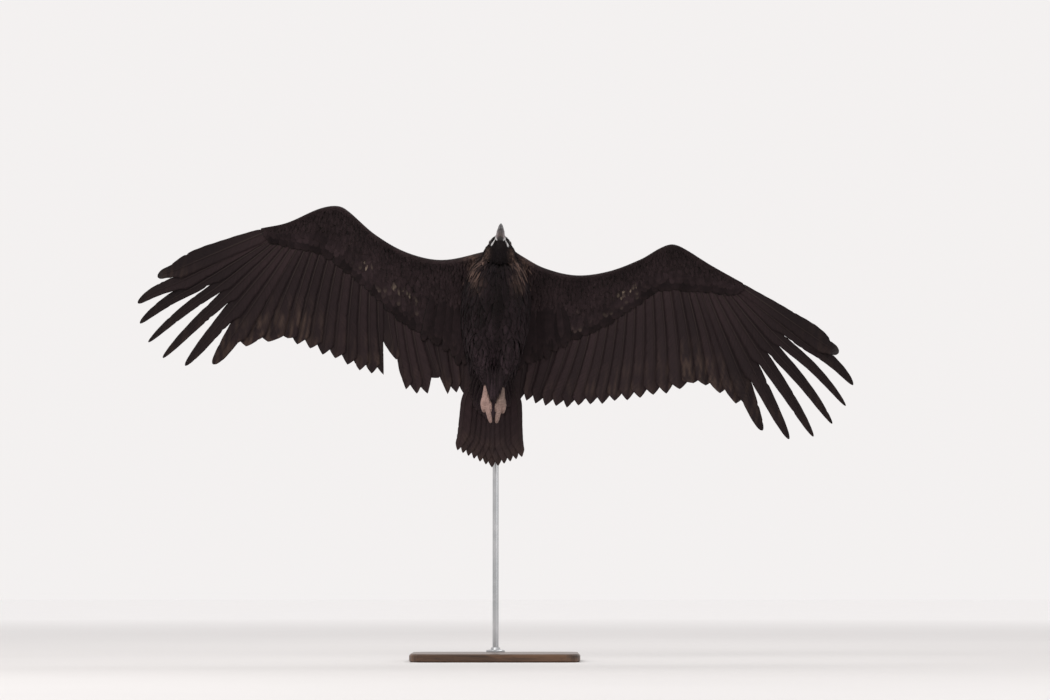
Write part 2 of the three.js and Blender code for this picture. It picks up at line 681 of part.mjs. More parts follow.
/** The rod's route in the stand's frame: straight up, then forwards into the bird's back. */
function rodRoute(end) {
  const top = BODY_HEIGHT;
  const path = new THREE.CurvePath();
  const foot = new THREE.Vector3(0, ROD_BACK, BASE_THICK + GAP);
  const bendStart = new THREE.Vector3(0, ROD_BACK, top - ROD_BEND);
  const corner = new THREE.Vector3(0, ROD_BACK, top);
  const bendEnd = new THREE.Vector3(0, ROD_BACK - ROD_BEND, top);
  path.add(new THREE.LineCurve3(foot, bendStart));
  path.add(new THREE.QuadraticBezierCurve3(bendStart, corner, bendEnd));
  path.add(new THREE.LineCurve3(bendEnd, new THREE.Vector3(0, end, top)));
  return path;
}

/** The hole that the rod needs in the bird's back, in the bird's frame. */
function socketTool() {
  const hole = new THREE.CylinderGeometry(ROD_RADIUS + GAP, ROD_RADIUS + GAP, 200, 14);
  hole.translate(0, 100 + ROD_DEPTH_IN_BACK - GAP, 0);
  bird.updateMatrixWorld(true);
  const toBird = banked.matrixWorld.clone().invert();
  hole.translate(0, 0, BODY_HEIGHT);
  return hole.applyMatrix4(toBird);
}

/** A round bar along a route of straight lengths and bends. */
function bar(route, radius, sides, bendSteps) {
  const centres = [];
  route.curves.forEach((curve, i) => {
    const steps = curve.isLineCurve3 ? 1 : bendSteps;
    for (let k = i === 0 ? 0 : 1; k <= steps; k++) {
      centres.push({ at: curve.getPoint(k / steps), tangent: curve.getTangent(k / steps) });
    }
  });
  const across = new THREE.Vector3(1, 0, 0);
  return loft(
    centres.map(({ at, tangent }) => {
      const normal = tangent.clone().cross(across).normalize();
      return Array.from({ length: sides }, (_, i) => {
        const turn = (i / sides) * Math.PI * 2;
        const out = Math.cos(turn) * radius;
        return at.clone().addScaledVector(across, out).addScaledVector(normal, Math.sin(turn) * radius);
      });
    }),
  );
}

function buildStand() {
  const outline = new THREE.Shape();
  const halfLength = BASE_LENGTH / 2 - BASE_EDGE;
  const halfWidth = BASE_WIDTH / 2 - BASE_EDGE;
  const corner = BASE_CORNER;
  outline.absarc(halfLength - corner, halfWidth - corner, corner, 0, Math.PI / 2);
  outline.absarc(-halfLength + corner, halfWidth - corner, corner, Math.PI / 2, Math.PI);
  outline.absarc(-halfLength + corner, -halfWidth + corner, corner, Math.PI, Math.PI * 1.5);
  outline.absarc(halfLength - corner, -halfWidth + corner, corner, Math.PI * 1.5, Math.PI * 2);
  const slab = new THREE.ExtrudeGeometry(outline, {
    depth: BASE_THICK - 2 * BASE_EDGE,
    curveSegments: 4,
    bevelEnabled: true,
    bevelThickness: BASE_EDGE,
    bevelSize: BASE_EDGE,
    bevelSegments: 1,
  });
  slab.translate(0, 0, BASE_EDGE);
  place(stand, "stand_base", geometryOf(solidOf(slab)), STAINED_WOOD);

  place(stand, "stand_rod", bar(rodRoute(ROD_DEPTH_IN_BACK), ROD_RADIUS, 14, 5), STEEL);

  const inside = ROD_RADIUS + GAP;
  const profile = [
    [inside, 0], [COLLAR_RADIUS, 0], [COLLAR_RADIUS, 5], [COLLAR_RADIUS - 3, 7], [18, 9],
    [16, COLLAR_HEIGHT], [inside, COLLAR_HEIGHT], [inside, 0],
  ];
  const collar = new THREE.LatheGeometry(profile.map(([x, y]) => new THREE.Vector2(x, y)), 16);
  collar.rotateX(Math.PI / 2).translate(0, ROD_BACK, BASE_THICK + GAP);
  place(stand, "stand_collar", geometryOf(solidOf(collar)), STEEL);
}

buildBody();
buildStand();

const model = new THREE.Group();
model.add(bird, stand);

export default model;
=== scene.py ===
"""A soaring cinereous vulture as a life-size museum model on a stand: skin, plumage, bill, eyes and claws.

The bird is worked out in its own frame, in millimetres: x to its left, y to its tail, z to its back.
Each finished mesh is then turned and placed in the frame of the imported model, in metres.
"""

import itertools
import math

import bmesh
import bpy
import numpy as np
from mathutils import Matrix, Vector
from mathutils.bvhtree import BVHTree


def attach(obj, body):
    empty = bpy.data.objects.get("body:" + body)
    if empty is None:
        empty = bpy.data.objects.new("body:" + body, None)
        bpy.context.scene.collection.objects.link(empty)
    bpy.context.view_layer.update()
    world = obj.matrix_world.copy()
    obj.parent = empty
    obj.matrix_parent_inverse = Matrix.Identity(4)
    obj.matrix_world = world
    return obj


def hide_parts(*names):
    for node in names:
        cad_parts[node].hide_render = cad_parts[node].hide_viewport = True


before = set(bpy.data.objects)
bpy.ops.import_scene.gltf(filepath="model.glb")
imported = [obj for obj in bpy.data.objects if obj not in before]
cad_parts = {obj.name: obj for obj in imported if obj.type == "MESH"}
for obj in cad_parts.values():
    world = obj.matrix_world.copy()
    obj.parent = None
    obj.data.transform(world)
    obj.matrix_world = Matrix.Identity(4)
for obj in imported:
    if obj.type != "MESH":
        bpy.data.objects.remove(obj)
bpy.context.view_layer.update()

# ---- driving sizes, in millimetres and degrees

MM = 0.001
SIDES = ((1, "left"), (-1, "right"))
NOSE_UP = 86
BANK = 3
BODY_HEIGHT = 1215
ROD_CLEARANCE = 13  # from the rod's axis to the nearest feather's root

PRIMARIES = 10
FINGERS = 7
SECONDARIES = 13
TERTIALS = 3
TIP_CROWDING = 1.17  # above 1 the inner tips stand closer together
NOTCH = 24
FLESH_END = 880
FOREARM_SLANT = 20
WING_CHORD = 560
FINGER_LIFT = [58, 62, 54, 43, 31, 20, 10]  # how far each finger's tip is bent up

# Each wing's outline, as distances [out from the body's middle, towards the tail].
WINGS = {
    "right": {
        "side": -1,
        "lead": [
            [40, -245], [200, -205], [330, -225], [450, -285], [560, -370], [600, -380], [660, -365],
            [770, -310], [880, -280], [1080, -205], [1150, -160], [1215, -100],
        ],
        "lining": [[40, 60], [200, 45], [315, 10], [450, -110], [610, -230], [760, -260], [900, -260]],
        "trail": [
            [90, 265], [220, 280], [300, 270], [400, 230], [480, 205], [570, 170], [660, 140], [760, 110],
        ],
        "hand_end": [800, -275],
        "wrist": [645, -330],
        "elbow": [300, -60],
        "shoulder": [70, -30],
        "fan": [[0, 23], [9, 77]],  # the primaries' headings, in degrees back from straight out
        "showing": 0.94,  # share of their length that the primaries show from below
        "slots": {0: 430, 1: 445},  # slots that start elsewhere, where two tips lie over each other
        "tips": [710, 100],  # how far out the outermost secondary and the innermost tertial end
        "shortened": {7: 15, 8: 90, 12: 60},  # worn or growing secondaries, by how much they fall short
        "notches": {7: 15, 8: 5, 9: 10, 17: 100, 18: 0},  # depths that differ, as beside a moulted feather
        "leans": {17: 0.2},  # borders that keep close to the outer of their two feathers
    },
    "left": {
        "side": 1,
        "lead": [
            [40, -260], [80, -235], [165, -195], [280, -175], [395, -195], [510, -245], [580, -290],
            [620, -305], [660, -295], [770, -235], [1125, -60], [1185, -15], [1240, 60],
        ],
        "lining": [
            [40, 65], [200, 50], [325, 10], [450, -75], [570, -170], [700, -175], [860, -160], [930, -130],
        ],
        "trail": [[90, 280], [225, 300], [300, 295], [500, 260], [680, 215], [725, 190], [775, 190]],
        "hand_end": [815, -195],
        "wrist": [655, -265],
        "elbow": [305, -45],
        "shoulder": [70, -30],
        "fan": [[0, 30], [6, 65], [9, 76]],
        "showing": 1,
        "slots": {0: 480, 1: 320},
        "tips": [725, 100],
        "shortened": {},
        "notches": {7: 20, 8: 10, 9: 10, 10: 10},
        "leans": {},
    },
}

TAIL_FEATHERS = 12
TAIL_ROOT = 150
TAIL_REACH = 530
TAIL_WEDGE = 0.43
TAIL_SWAY = 14
TAIL_HEIGHT = 40
TAIL_DROP = 14  # from its root to its end
TAIL_ARCH = 0.0007

HEAD_START = np.array([3.0, -222.0, -8.0])
HEAD_PITCH = math.radians(30)
EYE_AT = (52.2, 13, 30.0)  # forward, up and out from the head's start
EYE_RADIUS = 10.2
EYE_LEAD = 0.55  # how far its axis leans forward, for each part outward
EYE_DROOP = 0.04
NOSTRIL = (99, 5)  # forward and up

# Plumage and skin colours, linear.
BLACK_BROWN = np.array([0.0106, 0.0068, 0.0082])
COVERT_BROWN = np.array([0.0210, 0.0132, 0.0147])
QUILL_GREY = np.array([0.0180, 0.0105, 0.0114])
WORN_BROWN = np.array([0.064, 0.041, 0.032])
RUFF_BROWN = np.array([0.150, 0.095, 0.077])
RUFF_DARK = np.array([0.026, 0.0165, 0.0155])
CREAM = np.array([0.36, 0.28, 0.21])
DOWN_BLACK = np.array([0.0098, 0.0064, 0.0074])
BARE_BLUE = np.array([0.56, 0.55, 0.55])
FOOT_PINK = np.array([0.325, 0.212, 0.184])
# The feet's grey is painted shade, laid on the bird's left foot.
FOOT_SHADE_GREY = np.array([0.158, 0.112, 0.094])
ORBIT_DARK = np.array([0.026, 0.020, 0.023])
CERE_GREY = np.array([0.20, 0.165, 0.172])
# Painted shade for the insides of the nostrils.
NOSTRIL_SHADE = np.array([0.02, 0.015, 0.015])
UPPER_HORN, UPPER_HORN_TIP = np.array([0.056, 0.041, 0.046]), np.array([0.020, 0.0145, 0.018])
LOWER_HORN, LOWER_HORN_TIP = np.array([0.088, 0.062, 0.058]), np.array([0.040, 0.030, 0.032])
EYE_BROWN = np.array([0.03, 0.02, 0.015])
CLAW_BLACK = np.array([0.03, 0.024, 0.021])
VANE_BARB, CONTOUR_BARB = (0.006, 0.005, 0.005), (0.008, 0.006, 0.006)
QUILL_BASE, QUILL_TIP, CONTOUR_SHAFT = (0.034, 0.024, 0.022), (0.015, 0.010, 0.010), (0.012, 0.009, 0.008)
PORE_BROWN = (0.05, 0.035, 0.03)
CHALKY_HORN = (0.22, 0.2, 0.185)
IRIS_DARK, IRIS_LIGHT, IRIS_RIM = (0.020, 0.009, 0.004), (0.062, 0.028, 0.012), (0.012, 0.007, 0.005)
PUPIL_BLACK = (0.0015, 0.0012, 0.001)

# Stand and stage colours, linear.
WALNUT_DARK, WALNUT_LIGHT, WALNUT_PORE = (0.032, 0.016, 0.009), (0.13, 0.066, 0.034), (0.014, 0.008, 0.006)
STEEL_DARK, STEEL_LIGHT = (0.42, 0.43, 0.44), (0.56, 0.56, 0.57)
# The near paper colour is painted shade for the floor near the middle.
PAPER_SHADED_NEAR, PAPER_FAR = (0.66, 0.645, 0.64), (0.985, 0.98, 0.98)

# ---- numbers


def smooth(points):
    """A smooth function through the points [x, y], level beyond both ends."""
    x, y = np.array(points, float).T
    last = len(x) - 1
    here = np.arange(last + 1)
    after, before = np.minimum(here + 1, last), np.maximum(here - 1, 0)
    slope = (y[after] - y[before]) / (x[after] - x[before])

    def value(at):
        at = np.clip(at, x[0], x[-1])
        i = np.clip(np.searchsorted(x, at, side="right") - 1, 0, last - 1)
        width = x[i + 1] - x[i]
        t = (at - x[i]) / width
        s = 1 - t
        bend = width * t * s * (s * slope[i] - t * slope[i + 1])
        return s * s * (1 + 2 * t) * y[i] + t * t * (3 - 2 * t) * y[i + 1] + bend

    return value


def ease(value, low, high):
    """0 below low, 1 above high, and a soft step between."""
    t = np.clip((value - low) / (high - low), 0, 1)
    return t * t * (3 - 2 * t)


def blend(a, b, share):
    """From a to b by the share, where a and b are points or colours and the share has one number for each."""
    share = np.asarray(share)[..., None]
    return a * (1 - share) + b * share


def unit(v):
    return v / np.maximum(np.linalg.norm(v, axis=-1, keepdims=True), 1e-9)


def beside(v):
    """Square to directions in the plan, turned outwards."""
    return np.stack([v[..., 1], -v[..., 0]], -1)


def hill(*distances, power=2):
    """1 where every distance is 0, and falling away: each is given as (distance, width)."""
    return np.exp(-sum((distance / width) ** power for distance, width in distances))


def travelled(line):
    """How far along the line each of its points lies."""
    return np.concatenate([[0], np.cumsum(np.linalg.norm(np.diff(line, axis=0), axis=1))])


def mottle(points, size, seed, octaves=1):
    """A smooth random field of about -1 to 1 that changes over the given size."""
    draw = np.random.default_rng(seed)
    total = np.zeros(points.shape[:-1])
    for octave in range(octaves):
        waves = unit(draw.normal(0, 1, (7, points.shape[-1]))) * draw.uniform(0.6, 1.6, (7, 1))
        turns = points @ (waves * 2 * math.pi / size * 2**octave).T + draw.uniform(0, 2 * math.pi, 7)
        total += np.sin(turns).mean(-1) * 1.7 / 1.6**octave
    return total


TO_WORLD = (
    Matrix.Rotation(math.radians(-NOSE_UP), 4, "X") @ Matrix.Rotation(math.radians(BANK), 4, "Z")
).to_3x3()
TURN = np.array(TO_WORLD)
LIFT = np.array([0, 0, BODY_HEIGHT * MM])


def to_world(points):
    return points * MM @ TURN.T + LIFT


def to_bird(points):
    return (points - LIFT) @ TURN / MM


# ---- the wings' plan


class Wing:
    """One wing's plan: its feather lines from the tip to the body, and its surfaces over them."""

    level = staticmethod(
        smooth([[40, 22], [90, 30], [160, 46], [300, 64], [600, 92], [900, 97], [1320, 122]])
    )
    bulge = staticmethod(smooth([[40, 30], [300, 31], [600, 26], [900, 8], [1300, 0]]))
    flesh = staticmethod(
        smooth([[40, 66], [150, 58], [300, 44], [450, 36], [600, 30], [760, 20], [880, 12], [905, 4]])
    )
    fullness = staticmethod(smooth([[0.06, 1], [0.22, 0.68], [0.55, 0.23], [1, 0]]))
    quill = staticmethod(smooth([[0, 500], [1, 630], [4, 725], [6, 650], [7, 540], [9, 475]]))

    def __init__(self, label):
        plan = WINGS[label]
        self.label = label
        self.plan = plan
        self.side = plan["side"]
        self.lead = smooth(plan["lead"])
        self.lining = smooth(plan["lining"])
        self.lay_lines()

    def lay_lines(self):
        """A border, a feather's middle, a border and so on, each from the lining to the trailing edge."""
        plan = self.plan
        trail = smooth(plan["trail"])
        ends = [np.array(plan[key], float) for key in ("hand_end", "wrist", "elbow", "shoulder")]
        hand_end, wrist, elbow, shoulder = ends
        turns = np.radians(smooth(plan["fan"])(np.arange(PRIMARIES)))
        roots, tips = [], []
        for n in range(PRIMARIES):
            roots.append(hand_end + (wrist - hand_end) * n / (PRIMARIES - 1))
            heading = np.array([math.cos(turns[n]), math.sin(turns[n])])
            tips.append(roots[-1] + heading * self.quill(n) * plan["showing"])
        inner = SECONDARIES + TERTIALS
        outermost, innermost = plan["tips"]
        for n in range(inner):
            x = innermost + (outermost - innermost) * (1 - n / (inner - 1)) ** TIP_CROWDING
            if n < SECONDARIES:
                roots.append(wrist + (elbow - wrist) * (n + 0.8) / SECONDARIES)
            else:
                share = (n - SECONDARIES + 1) / (TERTIALS + 1)
                roots.append(elbow + (shoulder - elbow) * share)
            tips.append(np.array([x, trail(x) - plan["shortened"].get(n, 3 * math.sin(2.4 * n))]))
        count = len(roots)
        start = [np.array([FLESH_END, self.lead(FLESH_END)])]
        end = [None]
        for n in range(count):
            if n + 1 == count:
                root, stop = shoulder, tips[n] - [18, NOTCH]
            else:
                root = (roots[n] + roots[n + 1]) / 2
                if n < FINGERS:
                    turn = (turns[n] + turns[n + 1]) / 2
                    reach = plan["slots"].get(n, (370 + 11 * (n - 2) ** 2) * plan["showing"])
                    stop = root + np.array([math.cos(turn), math.sin(turn)]) * reach
                else:
                    between = tips[n] + (tips[n + 1] - tips[n]) * plan["leans"].get(n, 0.5)
                    stop = between + unit(root - between) * plan["notches"].get(n, NOTCH)
            if n == 0:
                edge = stop[0] - 6
                end[0] = np.array([edge, self.lead(edge)])
            rear = self.leave_lining(root, stop)
            middle_end = (end[-1] + stop) / 2 if n < FINGERS else tips[n]
            start += [(start[-1] + rear) / 2, rear]
            end += [middle_end, stop]
        self.start, self.end, self.tips, self.roots = map(np.array, (start, end, tips, roots))
        self.feathers = count
        self.heads = unit(self.end - self.start)
        self.heads[0] = self.heads[1]

    def leave_lining(self, root, stop):
        """Where the line from a feather's root to its tip comes out from under the lining."""
        near, far = 0.0, 1.0
        for _ in range(24):
            t = (near + far) / 2
            x, y = root + (stop - root) * t
            near, far = (t, far) if y < self.lining(x) else (near, t)
        return root + (stop - root) * near

    def station(self, s):
        """The front point, rear point and feather heading at line s, counted from the tip.

        Beyond the last line, stations go on into the shoulder.
        """
        beyond = np.maximum(s - (len(self.start) - 1), 0) * 13
        s = np.clip(s, 0, len(self.start) - 1)
        i = np.minimum(s.astype(int), len(self.start) - 2)
        t = s - i
        rear = blend(self.start[i], self.start[i + 1], t)
        heading = unit(blend(self.heads[i], self.heads[i + 1], t))
        wrist_x, shoulder_x = self.plan["wrist"][0], self.plan["shoulder"][0]
        slant = np.clip((rear[..., 0] - shoulder_x) / (wrist_x - shoulder_x), 0, 1)
        rear = rear - np.stack([beyond, 0 * beyond], -1)
        x = np.minimum(rear[..., 0] + FOREARM_SLANT * np.sin(math.pi * slant), FLESH_END)
        front = np.stack([x, self.lead(x)], -1)
        return front, rear, heading

    def height(self, x, y):
        """The height of the wing's middle surface."""
        c = np.clip((y - self.lead(x)) / WING_CHORD, 0, 1)
        return self.level(x) + self.bulge(x) * 4 * c**0.75 * (1 - c)

    def half_depth(self, x, y):
        """Half the thickness of the feathered wing at a point of the plan."""
        lead, lining = self.lead(x), self.lining(x)
        share = np.clip((y - lead) / np.maximum(lining - lead, 14), 0, 1)
        full = self.flesh(x) * np.sqrt(np.minimum(share / 0.06, 1)) * self.fullness(share)
        rear = 3.4 * ease(share, 0, 0.8) * np.exp(-np.maximum(y - lining, 0) / 90)
        return full / 2 + np.maximum(rear, 1.0)


# ---- meshes


class Blade:
    """A small closed feather shape: points along and across it, in rings between its root and its tip."""

    def __init__(self, widths, tops=3, unders=1):
        ring_across = list(np.linspace(-1, 1, tops)) + list(np.linspace(1, -1, unders + 2)[1:-1])
        ring_layer = [0] + [1] * (tops - 2) + [0] + [-1] * unders
        count = len(ring_across)
        along, across, layer, width = [0.0], [0.0], [0.0], [0.0]
        for t, w in widths:
            along += [t] * count
            across += ring_across
            layer += ring_layer
            width += [w] * count
        self.along = np.array(along + [1.0])
        self.across = np.array(across + [0.0])
        self.layer = np.array(layer + [0.0])
        self.width = np.array(width + [0.0])
        tip = len(self.along) - 1
        faces = []
        for i in range(count):
            j = (i + 1) % count
            faces.append((0, 1 + j, 1 + i))
            for r in range(len(widths) - 1):
                a, b = 1 + r * count, 1 + (r + 1) * count
                faces.append((a + i, a + j, b + j, b + i))
            a = 1 + (len(widths) - 1) * count
            faces.append((a + i, a + j, tip))
        self.faces = faces


BROAD = Blade([(0.1, 0.35), (0.35, 0.85), (0.62, 1), (0.84, 0.78), (0.95, 0.4)])
LARGE = Blade(
    [(0.05, 0.3), (0.2, 0.7), (0.42, 0.95), (0.62, 1), (0.78, 0.96), (0.89, 0.8), (0.96, 0.5)],
    tops=5,
    unders=3,
)
LANCE = Blade([(0.08, 0.35), (0.3, 0.95), (0.58, 1), (0.8, 0.62), (0.93, 0.28)])
DOWNY = Blade([(0.2, 0.9), (0.65, 0.7)])
BLADE_THICKNESS = 0.35  # from a blade's middle to either face


def mesh_piece(name, points, faces, material, tone, lie, places):
    """An object from points in the bird's frame, with colours and feather coordinates at its points.

    The places are the points' places on the map for baking. Faces turned in are turned out.
    """
    count, each = points.shape[:2]
    first = points[0]
    volume = sum(
        np.dot(first[face[0]], np.cross(first[face[k]], first[face[k + 1]]))
        for face in faces
        for k in range(1, len(face) - 1)
    )
    if volume < 0:
        faces = [face[::-1] for face in faces]
    sizes = np.tile([len(face) for face in faces], count)
    corners = np.concatenate([np.array(face) for face in faces])
    corners = (corners[None, :] + each * np.arange(count)[:, None]).ravel()
    mesh = bpy.data.meshes.new(name)
    mesh.vertices.add(count * each)
    mesh.vertices.foreach_set("co", to_world(points.reshape(-1, 3)).astype(np.float32).ravel())
    mesh.loops.add(len(corners))
    mesh.loops.foreach_set("vertex_index", corners.astype(np.int32))
    mesh.polygons.add(len(sizes))
    mesh.polygons.foreach_set("loop_start", (np.cumsum(sizes) - sizes).astype(np.int32))
    mesh.polygons.foreach_set("use_smooth", np.ones(len(sizes), bool))
    mesh.update(calc_edges=True)
    paint(mesh, tone.reshape(-1, 3))
    mark_lie(mesh, lie)
    layer = mesh.uv_layers.new(name="OFBake")
    layer.data.foreach_set("uv", places.reshape(-1, 2)[corners].astype(np.float32).ravel())
    mesh.materials.append(material)
    piece = bpy.data.objects.new(name, mesh)
    bpy.context.scene.collection.objects.link(piece)
    return piece


def paint(mesh, colours):
    layer = mesh.attributes.new("tone", "FLOAT_COLOR", "POINT")
    full = np.ones((len(colours), 4), np.float32)
    full[:, :3] = colours
    layer.data.foreach_set("color", full.ravel())


def mark_lie(mesh, lie):
    layer = mesh.attributes.new("lie", "FLOAT_VECTOR", "POINT")
    layer.data.foreach_set("vector", lie.reshape(-1).astype(np.float32))


def add_piece(piece, slot, *nodes):
    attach(piece, "root")
    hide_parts(*nodes)


def wing_blades(wing, up, root, heading, length, width, blade, lift, bow=0.0, curl=0.0):
    """Feathers on a wing's surface: a lift from it at root and tip, a sideways bow, a curl at the tip."""
    t, a = blade.along, blade.across
    normal = beside(heading)
    reach = length[:, None] * t
    off = width[:, None] / 2 * blade.width * a + np.reshape(bow, (-1, 1)) * length[:, None] * t**2
    plan = root[:, None] + heading[:, None] * reach[..., None] + normal[:, None] * off[..., None]
    plan[..., 1] = np.maximum(plan[..., 1], wing.lead(plan[..., 0]) - 0.6)
    rise = np.reshape(lift[0], (-1, 1)) * (1 - t) + np.reshape(lift[1], (-1, 1)) * t + curl * t**3
    camber = 0.04 * width[:, None] * blade.width * (1 - a * a)
    x, y = plan[..., 0], plan[..., 1]
    closed = ease(y - wing.lead(x), -0.6, 2.0)
    above = closed * wing.half_depth(x, y) + (0.3 + 0.7 * closed) * (rise + camber)
    z = wing.height(x, y) + up * (above + blade.layer * BLADE_THICKNESS)
    return np.concatenate([plan, z[..., None]], -1) * [wing.side, 1, 1]


def tuft_places(points, blade, skin_map, patch=0.003):
    """Each feather's small patch on the skin's own map, at its root."""
    at = skin_map(points[:, 0])
    spread = np.stack([blade.across * blade.width * 0.5, blade.along - 0.5], -1) * patch
    return np.clip(at[:, None] + spread[None], 0.001, 0.999)


def shaded(tone, blade, root=0.72, tip=1.0, edge=0.0, pale=None):
    """Colours over each feather: darker to its root, and paler at its rim by the edge."""
    t = blade.along
    colours = tone[:, None] * (root + (tip - root) * t)[None, :, None]
    if pale is not None:
        rim = np.maximum(np.abs(blade.across) ** 3, ease(t, 0.82, 1.0)) * edge
        colours = blend(colours, pale, np.broadcast_to(rim, colours.shape[:2]))
    return colours


def lie_of(blade, length, width, draw):
    """The distances across and along each feather, and a number of its own."""
    each = draw.uniform(0, 1, len(length))
    return np.stack(
        [
            blade.across * blade.width * width[:, None] / 2,
            blade.along * length[:, None],
            np.broadcast_to(each[:, None], (len(length), len(blade.along))),
        ],
        -1,
    )


# ---- finishes


class Finish:
    """A material with one principled surface, whose nodes are added in short calls."""

    def __init__(self, name, roughness=0.6, **constants):
        self.material = bpy.data.materials.new(name)
        self.material.use_nodes = True
        self.tree = self.material.node_tree
        self.surface = self.tree.nodes["Principled BSDF"]
        self.surface.inputs["Roughness"].default_value = roughness
        for key, value in constants.items():
            self.surface.inputs[key.replace("_", " ")].default_value = value

    def node(self, kind, output=0, **inputs):
        made = self.tree.nodes.new("ShaderNode" + kind)
        for key, value in inputs.items():
            socket = made.inputs[int(key[1:]) if key[1:].isdigit() else key.replace("_", " ")]
            self.give(socket, value)
        return made.outputs[output]

    def give(self, socket, value):
        if isinstance(value, bpy.types.NodeSocket):
            self.tree.links.new(value, socket)
        else:
            socket.default_value = value

    def attribute(self, name, output=0):
        made = self.node("Attribute", output)
        made.node.attribute_name = name
        return made

    def lie_parts(self):
        return self.node("SeparateXYZ", Vector=self.attribute("lie", 1)).node.outputs

    def math(self, operation, a, b=0.0, c=0.0):
        made = self.node("Math", i0=a, i1=b, i2=c)
        made.node.operation = operation
        return made

    def mix(self, share, a, b, way="MIX"):
        made = self.node("Mix", 2)
        made.node.data_type = "RGBA"
        made.node.blend_type = way
        for index, value in ((0, share), (6, a), (7, b)):
            self.give(made.node.inputs[index], value)
        return made

    def noise(self, scale, detail=3.0, where=None, **more):
        where = where or self.node("TexCoord", 3)
        return self.node("TexNoise", Vector=where, Scale=scale, Detail=detail, **more)

    def stretch(self, factors, where=None):
        where = where or self.node("TexCoord", 3)
        made = self.node("Mapping", Vector=where)
        made.node.inputs["Scale"].default_value = factors
        return made

    def range(self, value, low, high, to_low=0.0, to_high=1.0):
        return self.node("MapRange", i0=value, i1=low, i2=high, i3=to_low, i4=to_high)

    def bump(self, height, distance, strength=1.0):
        self.give(
            self.surface.inputs["Normal"],
            self.node("Bump", Height=height, Distance=distance, Strength=strength),
        )

    def graded(self, tone, shade):
        """The tone, made darker or lighter by a grey shade."""
        grey = self.node("CombineColor", i0=shade, i1=shade, i2=shade)
        return self.mix(1.0, tone, grey, "MULTIPLY")

    def colour(self, value):
        self.give(self.surface.inputs["Base Color"], value)

    def rough(self, value):
        self.give(self.surface.inputs["Roughness"], value)


def rgb(values):
    return (*[float(v) for v in values], 1.0)


def barb_lines(finish, period, slant=1.15):
    """Fine lines at an angle to a feather's shaft, from -1 to 1, and where a point lies on the feather."""
    parts = finish.lie_parts()
    across = finish.math("ABSOLUTE", parts[0])
    rise = finish.math("MULTIPLY_ADD", across, -slant, parts[1])
    lines = finish.math("SINE", finish.math("MULTIPLY", rise, 2 * math.pi / period))
    return lines, across, rise, parts


def flight_finish():
    """Large vanes: slanting barbs, a pale horny shaft, and uneven wear along the barbs."""
    finish = Finish("flight_vanes", 0.58, Specular_IOR_Level=0.1)
    lines, across, rise, parts = barb_lines(finish, 1.6)
    drawn_out = (finish.math("MULTIPLY", rise, 0.25), finish.math("MULTIPLY", across, 0.02))
    bands = finish.noise(1.0, 4.0, finish.node("CombineXYZ", X=drawn_out[0], Y=drawn_out[1]))
    vane = finish.graded(finish.attribute("tone"), finish.range(bands, 0.3, 0.7, 0.72, 1.25))
    lined = finish.mix(finish.range(lines, -1, 1, 0.0, 0.22), vane, rgb(VANE_BARB))
    on_shaft = finish.range(finish.math("SUBTRACT", across, parts[2]), -0.25, 0.15, 1.0, 0.0)
    shaft = finish.mix(finish.range(parts[1], 0, 500, 0.0, 0.7), rgb(QUILL_BASE), rgb(QUILL_TIP))
    finish.colour(finish.mix(on_shaft, lined, shaft))
    finish.rough(finish.range(bands, 0.3, 0.7, 0.48, 0.62))
    finish.bump(lines, 0.00025, 0.7)
    return finish.material


def contour_finish(name, roughness, sheen):
    """Small body feathers: fine barbs, a thin shaft line and soft uneven colour."""
    finish = Finish(name, roughness, Specular_IOR_Level=0.06, Sheen_Weight=sheen, Sheen_Roughness=0.5)
    lines, across, _, _ = barb_lines(finish, 0.9)
    cloud = finish.noise(55.0, 4.0)
    vane = finish.graded(finish.attribute("tone"), finish.range(cloud, 0.3, 0.7, 0.75, 1.25))
    lined = finish.mix(finish.range(lines, -1, 1, 0.0, 0.3), vane, rgb(CONTOUR_BARB))
    on_shaft = finish.range(across, 0.1, 0.45, 0.5, 0.0)
    finish.colour(finish.mix(on_shaft, lined, rgb(CONTOUR_SHAFT)))
    finish.rough(finish.range(cloud, 0.3, 0.7, roughness - 0.06, roughness + 0.08))
    finish.bump(lines, 0.00015, 0.6)
    return finish.material


def skin_finish():
    """Bare and downy skin, with pores and small wrinkles."""
    finish = Finish("vulture_skin", 0.6, Specular_IOR_Level=0.2)
    cells = finish.node("TexVoronoi", Vector=finish.node("TexCoord", 3), Scale=520.0)
    cells.node.feature = "F1"
    fine = finish.noise(900.0, 4.0)
    cloud = finish.noise(120.0, 4.0)
    base = finish.graded(finish.attribute("tone"), finish.range(cloud, 0.3, 0.7, 0.82, 1.15))
    finish.colour(finish.mix(finish.range(cells, 0.25, 0.8, 0.0, 0.22), base, rgb(PORE_BROWN)))
    finish.rough(finish.range(cloud, 0.3, 0.7, 0.5, 0.66))
    height = finish.math("MULTIPLY_ADD", fine, 0.5, finish.math("MULTIPLY", cells, -0.8))
    finish.bump(height, 0.0005, 0.7)
    return finish.material


def horn_finish(name, roughness, grain):
    """Horn with faint growth lines and a worn, slightly chalky surface."""
    finish = Finish(name, roughness, Specular_IOR_Level=0.5, Coat_Weight=0.15, Coat_Roughness=0.3)
    streaks = finish.noise(1.0, 5.0, finish.stretch((260, 90, 260)))
    cloud = finish.noise(180.0, 3.0)
    base = finish.graded(finish.attribute("tone"), finish.range(streaks, 0.3, 0.7, 0.7, 1.3))
    finish.colour(finish.mix(finish.range(cloud, 0.5, 0.75, 0.0, 0.18), base, rgb(CHALKY_HORN)))
    finish.rough(finish.range(streaks, 0.3, 0.7, roughness - 0.08, roughness + 0.12))
    finish.bump(finish.math("ADD", streaks, finish.math("MULTIPLY", cloud, 0.4)), grain, 0.8)
    return finish.material


